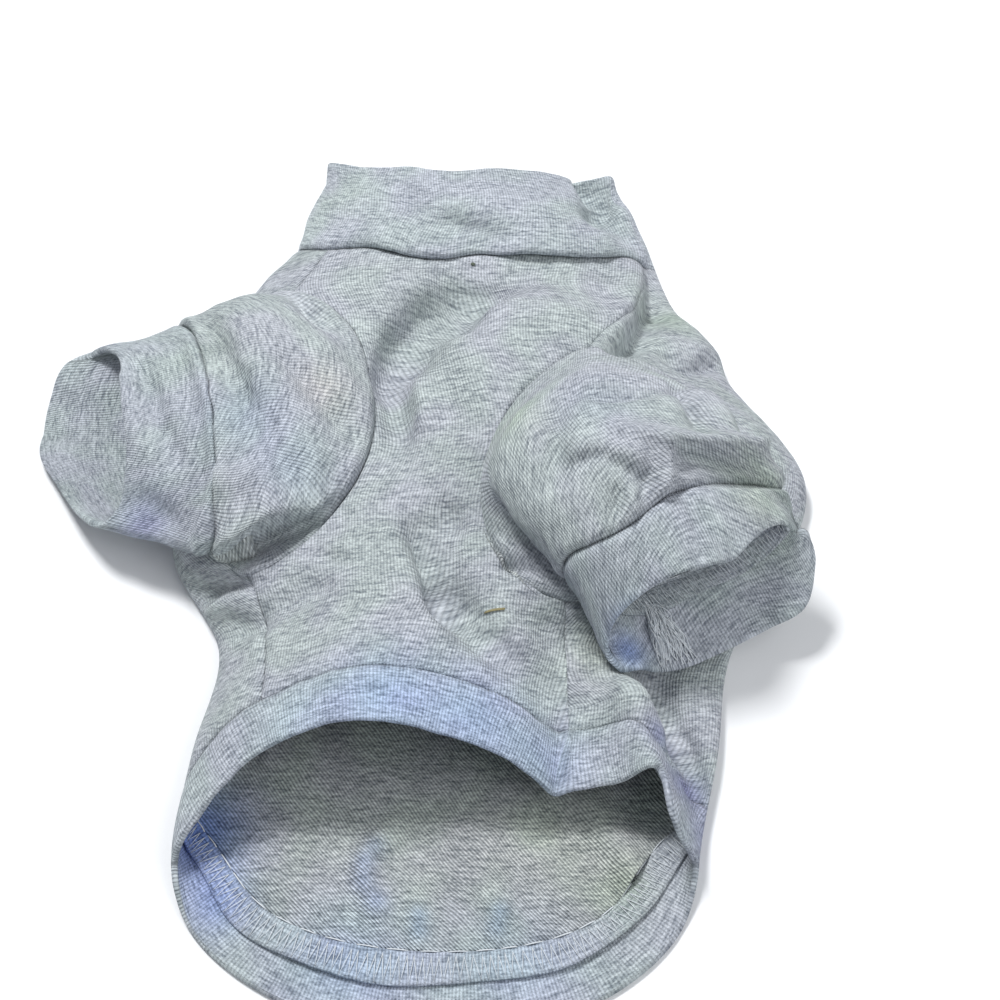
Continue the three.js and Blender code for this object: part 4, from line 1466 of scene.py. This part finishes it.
@dataclass
class Sleeve:
    """A short set-in sleeve and its cuff band, which share one row of rings."""

    tube: Tube
    side: Side
    thickness: float = 1.2
    cuff_thickness: float = 2.4
    lift: float = 2.1
    reach: float = 3.0
    crease_strength: float = 1.9
    hang: float = 6  # how far the left sleeve's bulge hangs over the fold at its underarm
    trough: float = 2.5  # how deep the cloth sinks beside that fold
    pull_start: float = 0.4  # the share of the sleeve's rows that the cuff's pull leaves alone
    tail_count: int = 150
    tail_column: float = 156.5  # the column of the cuff's grid where the tails begin
    tail_rows: tuple[int, int] = (5, 18)  # the row where they begin, and how many rows a full length takes
    tail_radius: float = 0.14
    around: int = 6
    along: int = 6
    cut: tuple[float, float] = (0.235, 0.070)
    cut_area: float = 0.0108
    cuff_cut: tuple[float, float] = (0.185, 0.030)

    @property
    def allowance(self) -> Allowance:
        """The seam allowance inside the cuff."""
        return Allowance(f"cuff_{self.word}", (0.165, 0.011), width=11.0, seed=40 + self.side.value)

    @property
    def word(self) -> str:
        """The side's name."""
        return self.side.name.lower()

    def ring(self, row: tuple[float, ...]) -> Array:
        """One free ring of the sleeve."""
        x, y, z, heading, tilt, wide, tall, _ = row
        h, t = math.radians(heading), math.radians(tilt)
        way = np.array([math.cos(h) * math.cos(t), math.sin(h) * math.cos(t), math.sin(t)])
        up = np.array([-math.cos(h) * math.sin(t), -math.sin(h) * math.sin(t), math.cos(t)])
        across = np.cross(way, up)
        turn = TURN * np.arange(32) / 32
        return np.array([x, y, z]) + np.outer(np.cos(turn) * wide, across) + np.outer(np.sin(turn) * tall, up)

    def clear(self, points: Array) -> Array:
        """The points, raised where they would lie in the body's cloth or in the surface."""
        form = self.tube.form
        x, y = points[..., 0], points[..., 1]
        left, right = form.column("left", y), form.column("right", y)
        outside = np.maximum(left - x, x - right)
        inwards = np.where(2 * x < left + right, 1, -1)
        body = form.point(form.angle_at(x + inwards * self.reach, y), y)[..., 2]
        below = np.where(outside > self.reach, 0, body)
        points[..., 2] = np.maximum(points[..., 2], below + self.lift)
        return points

    def pulled(self, grid: Array, seam: int) -> Array:
        """The sleeve with its cuff pulled out of round."""
        pulls = CUFF_PULLS[self.side]
        turns = np.arange(grid.shape[1]) * 360 / grid.shape[1]
        at_seam, at_mouth = (
            np.stack([hermite(pulls["turn"], pulls[end + axis], turns) for axis in "xyz"], axis=-1)
            for end in "sm"
        )
        row = np.arange(len(grid))
        share = np.clip((row - seam) / (len(grid) - 1 - seam), 0, 1)[:, None, None]
        fade = share_between(row, self.pull_start * seam, seam)[:, None, None]
        return grid + fade * lerp(at_seam, at_mouth, share)

    def grids(self) -> tuple[Array, int]:
        """The outer points of the sleeve and its cuff, and the row of the seam between them."""
        rings = np.stack([self.tube.armhole(self.side), *(self.ring(row) for row in RINGS[self.side])])
        fine = refined(rings.transpose(1, 0, 2), self.around, 0.0).transpose(1, 0, 2)
        padded = np.concatenate([[2 * fine[0] - fine[1]], fine, [2 * fine[-1] - fine[-2]]])
        parts = []
        for k, row in enumerate(RINGS[self.side]):
            steps = row[-1] * self.along
            t = (np.arange(steps) / steps)[:, None, None]
            parts.append(centripetal(*padded[k : k + 4], t))
        grid = np.concatenate([*parts, fine[-1:]])
        seam = len(grid) - 1 - RINGS[self.side][-1][-1] * self.along
        share = np.clip(np.arange(len(grid)) / (2 * self.along), 0, 1)[:, None, None]
        grid = lerp(grid, self.clear(grid.copy()), share)
        return self.pulled(grid, seam), seam

    @staticmethod
    def past_fold(grid: Array) -> Array:
        """How far each point lies past the fold under the left arm, towards the hem."""
        return np.interp(grid[..., 0], UNDERARM["x"], UNDERARM["y"]) - grid[..., 1]

    def folded(self, grid: Array) -> Array:
        """The share by which each point lies in the fold under the left arm."""
        if self.side is Side.RIGHT:
            return np.zeros_like(grid[..., 0])
        return share_between(self.past_fold(grid), -1.5, 0.5)

    def underarm(self, grid: Array, upper: Array) -> Array:
        """The left sleeve with its underarm folded flat and its bulge hanging over the fold."""
        if self.side is Side.RIGHT:
            return grid
        south = self.past_fold(grid)
        shelf = np.interp(grid[..., 0], UNDERARM["x"], UNDERARM["z"])
        inside = share_between(grid[..., 0], -100, -84)
        flat = self.folded(grid) * upper * inside
        grid = grid.copy()
        grid[..., 2] = lerp(grid[..., 2], np.minimum(grid[..., 2], shelf), flat)
        bulge = np.exp(-(((south + 3) / 3.5) ** 2)) * share_between(grid[..., 2] - shelf, 1, 5)
        grid[..., 1] -= self.hang * (bulge * upper * inside)
        grid[..., 2] -= self.trough * np.exp(-(((south - 2) / 4) ** 2)) * upper * inside
        return grid

    def build(self, wardrobe: Wardrobe) -> list[bpy.types.Object]:
        """Makes the sleeve, its cuff, and the overlocked allowance inside the cuff."""
        grid, seam = self.grids()
        normals = grid_normals(grid, closed=True)
        along = arc_lengths(grid, 0)
        free = share_between(along, 0, 12)
        upper = share_between(normals[..., 2], -0.1, 0.4)
        shift = Laps(SLEEVE_LAPS[self.side]).shift(grid)
        grid = eased(self.underarm(grid + shift * upper[..., None], upper), 4, closed=True)
        x, y = grid[..., 0], grid[..., 1]
        body = self.tube.form.normal(self.tube.form.angle_at(x, y), y)
        out = unit(lerp(body, normals, free[..., None]))
        rise = Creases(SLEEVE_CREASES[self.side], self.crease_strength).rise(grid) * free * upper
        rise = rise + self.tube.rise(grid) * (1 - free)
        rise += CRUMPLE.rise(grid) * free + groove(along, 0.9, 1.4)
        grid = grid + out * rise[..., None]
        swell = roll(along, HEAD_ROLLS[self.side], 3.5) * share_between(14 - along, 0, 12)
        swell *= lerp(1, 0.35, self.folded(grid))
        from_seam = along - along[seam]
        before_seam = roll(-from_seam, 1.1, 3.0) * share_between(12 + from_seam, 0, 9)
        swell += groove(from_seam, 1.3, 1.3) + before_seam
        swell += roll(from_seam, 0.5, 3.0) * share_between(10 - from_seam, 0, 8)
        swell *= share_between(np.abs(normals[..., 2]), -0.15, 0.2)
        grid = grid + normals * swell[..., None]
        grid[..., 2] = np.maximum(grid[..., 2], 3.0)
        # The sleeve's and cuff's own hues, and painted shade on their shaded faces.
        tint_and_shade = SLEEVE_TINT_AND_SHADE[self.side]
        cloth = strip_cloth(grid, True)
        sleeve = Shell(
            f"sleeve_{self.word}_cloth",
            grid[: seam + 1],
            cloth[: seam + 1],
            self.thickness,
            closed=True,
            right=tint_and_shade,
        ).build(wardrobe.right_side, wardrobe.wrong_side)
        cuff = Shell(
            f"cuff_{self.word}_cloth",
            grid[seam:],
            cloth[seam:],
            self.cuff_thickness,
            closed=True,
            fold_last=True,
            right=tint_and_shade,
            wrong=tint_and_shade,
        ).build(wardrobe.band, wardrobe.band)
        sewn = self.allowance.build(grid[seam:, ::-1], self.cuff_thickness, wardrobe)
        if self.side is Side.RIGHT:
            sewn.append(self.tails(grid[seam:], wardrobe))
        return [sleeve, cuff, *sewn]

    def tails(self, wall: Array, wardrobe: Wardrobe) -> bpy.types.Object:
        """The loose overlock tails spread down the inside of a cuff.

        Args:
            wall: The cuff's outer points, from its seam outwards.
            wardrobe: The finishes.

        Returns:
            The piece.
        """
        rng = np.random.default_rng(61)
        normals = grid_normals(wall, closed=True)
        t = np.linspace(0, 1, 14)
        paths = []
        for _ in range(self.tail_count):
            across, lift, wave = rng.uniform(-1, 1), rng.uniform(0.2, 3.2), rng.uniform(-1.1, 1.1)
            down = rng.uniform(0.0, 0.3) + rng.uniform(0.5, 0.85) * t
            row = np.clip(self.tail_rows[0] + self.tail_rows[1] * down, 0, len(wall) - 1.01)
            spread = across * (1.2 + 4.6 * down)
            column = self.tail_column + spread + 1.5 * down + wave * np.sin(7 * t + 6 * across)
            near, left = row.astype(int), column.astype(int)
            off = self.cuff_thickness + 0.4 + lift * np.sin(math.pi * t) ** 2
            corners = [
                wall[near + i, left + j] - normals[near + i, left + j] * off[:, None]
                for i in (0, 1)
                for j in (0, 1)
            ]
            u, v = (row - near)[:, None], (column - left)[:, None]
            paths.append(lerp(lerp(corners[0], corners[1], v), lerp(corners[2], corners[3], v), u))
        return threads(f"cuff_{self.word}_thread_tails", paths, self.tail_radius, wardrobe.thread)

    def dress(self, pieces: list[bpy.types.Object]) -> None:
        """Puts the sleeve and the cuff on the shirt."""
        sleeve, cuff, *sewn = pieces
        show(sleeve, (f"sleeve_{self.word}",))
        show(cuff, (f"cuff_{self.word}",))
        self.allowance.dress(sewn, cuff.name)


@dataclass
class Specks:
    """What has caught on the chest: a sliver of straw and a pill of dark lint."""

    tube: Tube
    straw: tuple[float, ...] = (-5.2, -51.4, 1.4, -50.9)  # from x, y, to x, y
    pill: tuple[float, float] = (-9.6, 93)
    straw_radius: float = 0.24
    pill_radius: float = 0.3

    def on_cloth(self, x: Array, y: Array, above: float) -> Array:
        """Points a little above the chest's cloth."""
        grid, _ = self.tube.creased(Rows(self.tube.form.angle_at(x, y)[None], y[None]))
        return grid[0] + np.array([0, 0, above])

    def build(self, wardrobe: Wardrobe) -> list[bpy.types.Object]:
        """Makes the specks."""
        x1, y1, x2, y2 = self.straw
        t = np.linspace(0, 1, 8)
        sliver = self.on_cloth(lerp(x1, x2, t), lerp(y1, y2, t), 0.45)
        # The pill is a tiny coil of fibre, wider across the shirt than along it.
        curl = np.linspace(0, 1.6 * TURN, 30)
        x = self.pill[0] + (0.2 + 0.25 * curl / TURN) * np.cos(curl)
        y = self.pill[1] + (0.2 + 0.15 * curl / TURN) * np.sin(curl)
        split = [sliver, sliver + np.array([0.2, 0.35, 0.05])]
        return [
            threads("straw_sliver", split, self.straw_radius, wardrobe.straw),
            threads("dark_lint_pill", [self.on_cloth(x, y, 0.4)], self.pill_radius, wardrobe.lint),
        ]

    def dress(self, pieces: list[bpy.types.Object]) -> None:
        """Puts the specks on the shirt."""
        for piece in pieces:
            show(piece)


def centripetal(p0: Array, p1: Array, p2: Array, p3: Array, t: Array) -> Array:
    """Points between p1 and p2 on a centripetal curve through four points."""

    def gap(a: Array, b: Array) -> Array:
        """The curve's own measure of the way between two points."""
        return np.maximum(np.linalg.norm(a - b, axis=-1, keepdims=True) ** 0.5, 1e-4)

    d01, d12, d23 = gap(p0, p1), gap(p1, p2), gap(p2, p3)
    m1 = ((p1 - p0) / d01 - (p2 - p0) / (d01 + d12) + (p2 - p1) / d12) * d12
    m2 = ((p2 - p1) / d12 - (p3 - p1) / (d12 + d23) + (p3 - p2) / d23) * d12
    c2 = -3 * p1 + 3 * p2 - 2 * m1 - m2
    c3 = 2 * p1 - 2 * p2 + m1 + m2
    return p1 + m1 * t + c2 * t**2 + c3 * t**3


# ----------------------------------------------------------------------------------------- studio


@dataclass
class Studio:
    """The pale floor, the soft lights and the camera."""

    distance: float = 0.6
    elevation: float = 58.0
    lens: float = 64.8
    aim: tuple[float, float, float] = (0.0262285, 0.0129359, 0.015)
    room: str = "#eef2f8"
    room_strength: float = 0.36
    floor_size: float = 4.0
    sensor: float = 36

    def build(self) -> None:
        """Makes the studio."""
        self.floor()
        self.camera()
        self.light("key", (-0.3, 0.46, 1.05), 0.26, 12.4)
        self.light("fill", (0.75, -0.3, 0.9), 0.9, 5.6)
        world = bpy.data.worlds.new("soft_room")
        bpy.context.scene.world = world
        world.use_nodes = True
        background = world.node_tree.nodes["Background"]
        background.inputs["Color"].default_value = linear(self.room)
        background.inputs["Strength"].default_value = self.room_strength
        bpy.context.scene.view_settings.view_transform = "Standard"

    def floor(self) -> None:
        """The floor, which isn't part of the shirt."""
        half = self.floor_size / 2
        corners = [(-half, -half, 0), (half, -half, 0), (half, half, 0), (-half, half, 0)]
        mesh = bpy.data.meshes.new("floor")
        mesh.from_pydata(corners, [], [(0, 1, 2, 3)])
        mesh.materials.append(Plain("matt_board", "#f4f5f6", "#f1f2f4", 3, roughness=0.9).make())
        floor = bpy.data.objects.new("floor", mesh)
        bpy.context.scene.collection.objects.link(floor)

    def light(self, name: str, place: tuple[float, float, float], size: float, power: float) -> None:
        """A soft square light that faces the shirt."""
        data = bpy.data.lights.new(name, "AREA")
        data.shape = "SQUARE"
        data.size = size
        data.energy = power
        lamp = bpy.data.objects.new(name, data)
        lamp.location = place
        way = np.array(place) - np.array(self.aim)
        lamp.rotation_euler = (math.acos(way[2] / np.linalg.norm(way)), 0, math.atan2(way[0], -way[1]))
        bpy.context.scene.collection.objects.link(lamp)

    def camera(self) -> None:
        """The camera, above the tail and looking down towards the collar."""
        data = bpy.data.cameras.new("camera")
        data.lens = self.lens
        data.sensor_width = self.sensor
        camera = bpy.data.objects.new("camera", data)
        e = math.radians(self.elevation)
        x, y, z = self.aim
        camera.location = (x, y - self.distance * math.cos(e), z + self.distance * math.sin(e))
        camera.rotation_euler = (math.pi / 2 - e, 0, 0)
        bpy.context.scene.collection.objects.link(camera)
        bpy.context.scene.camera = camera


def main() -> None:
    """Builds the shirt and the studio."""
    logging.basicConfig(level=logging.INFO, format="%(message)s")
    wardrobe = make_wardrobe()
    tube = Tube()
    for part in (BackPanel(tube), ChestPanel(tube), HemBand(tube), Collar(tube)):
        part.dress(part.build(wardrobe))
    for side in Side:
        sleeve = Sleeve(tube, side)
        sleeve.dress(sleeve.build(wardrobe))
    specks = Specks(tube)
    specks.dress(specks.build(wardrobe))
    Studio().build()


if __name__ == "__main__":
    main()
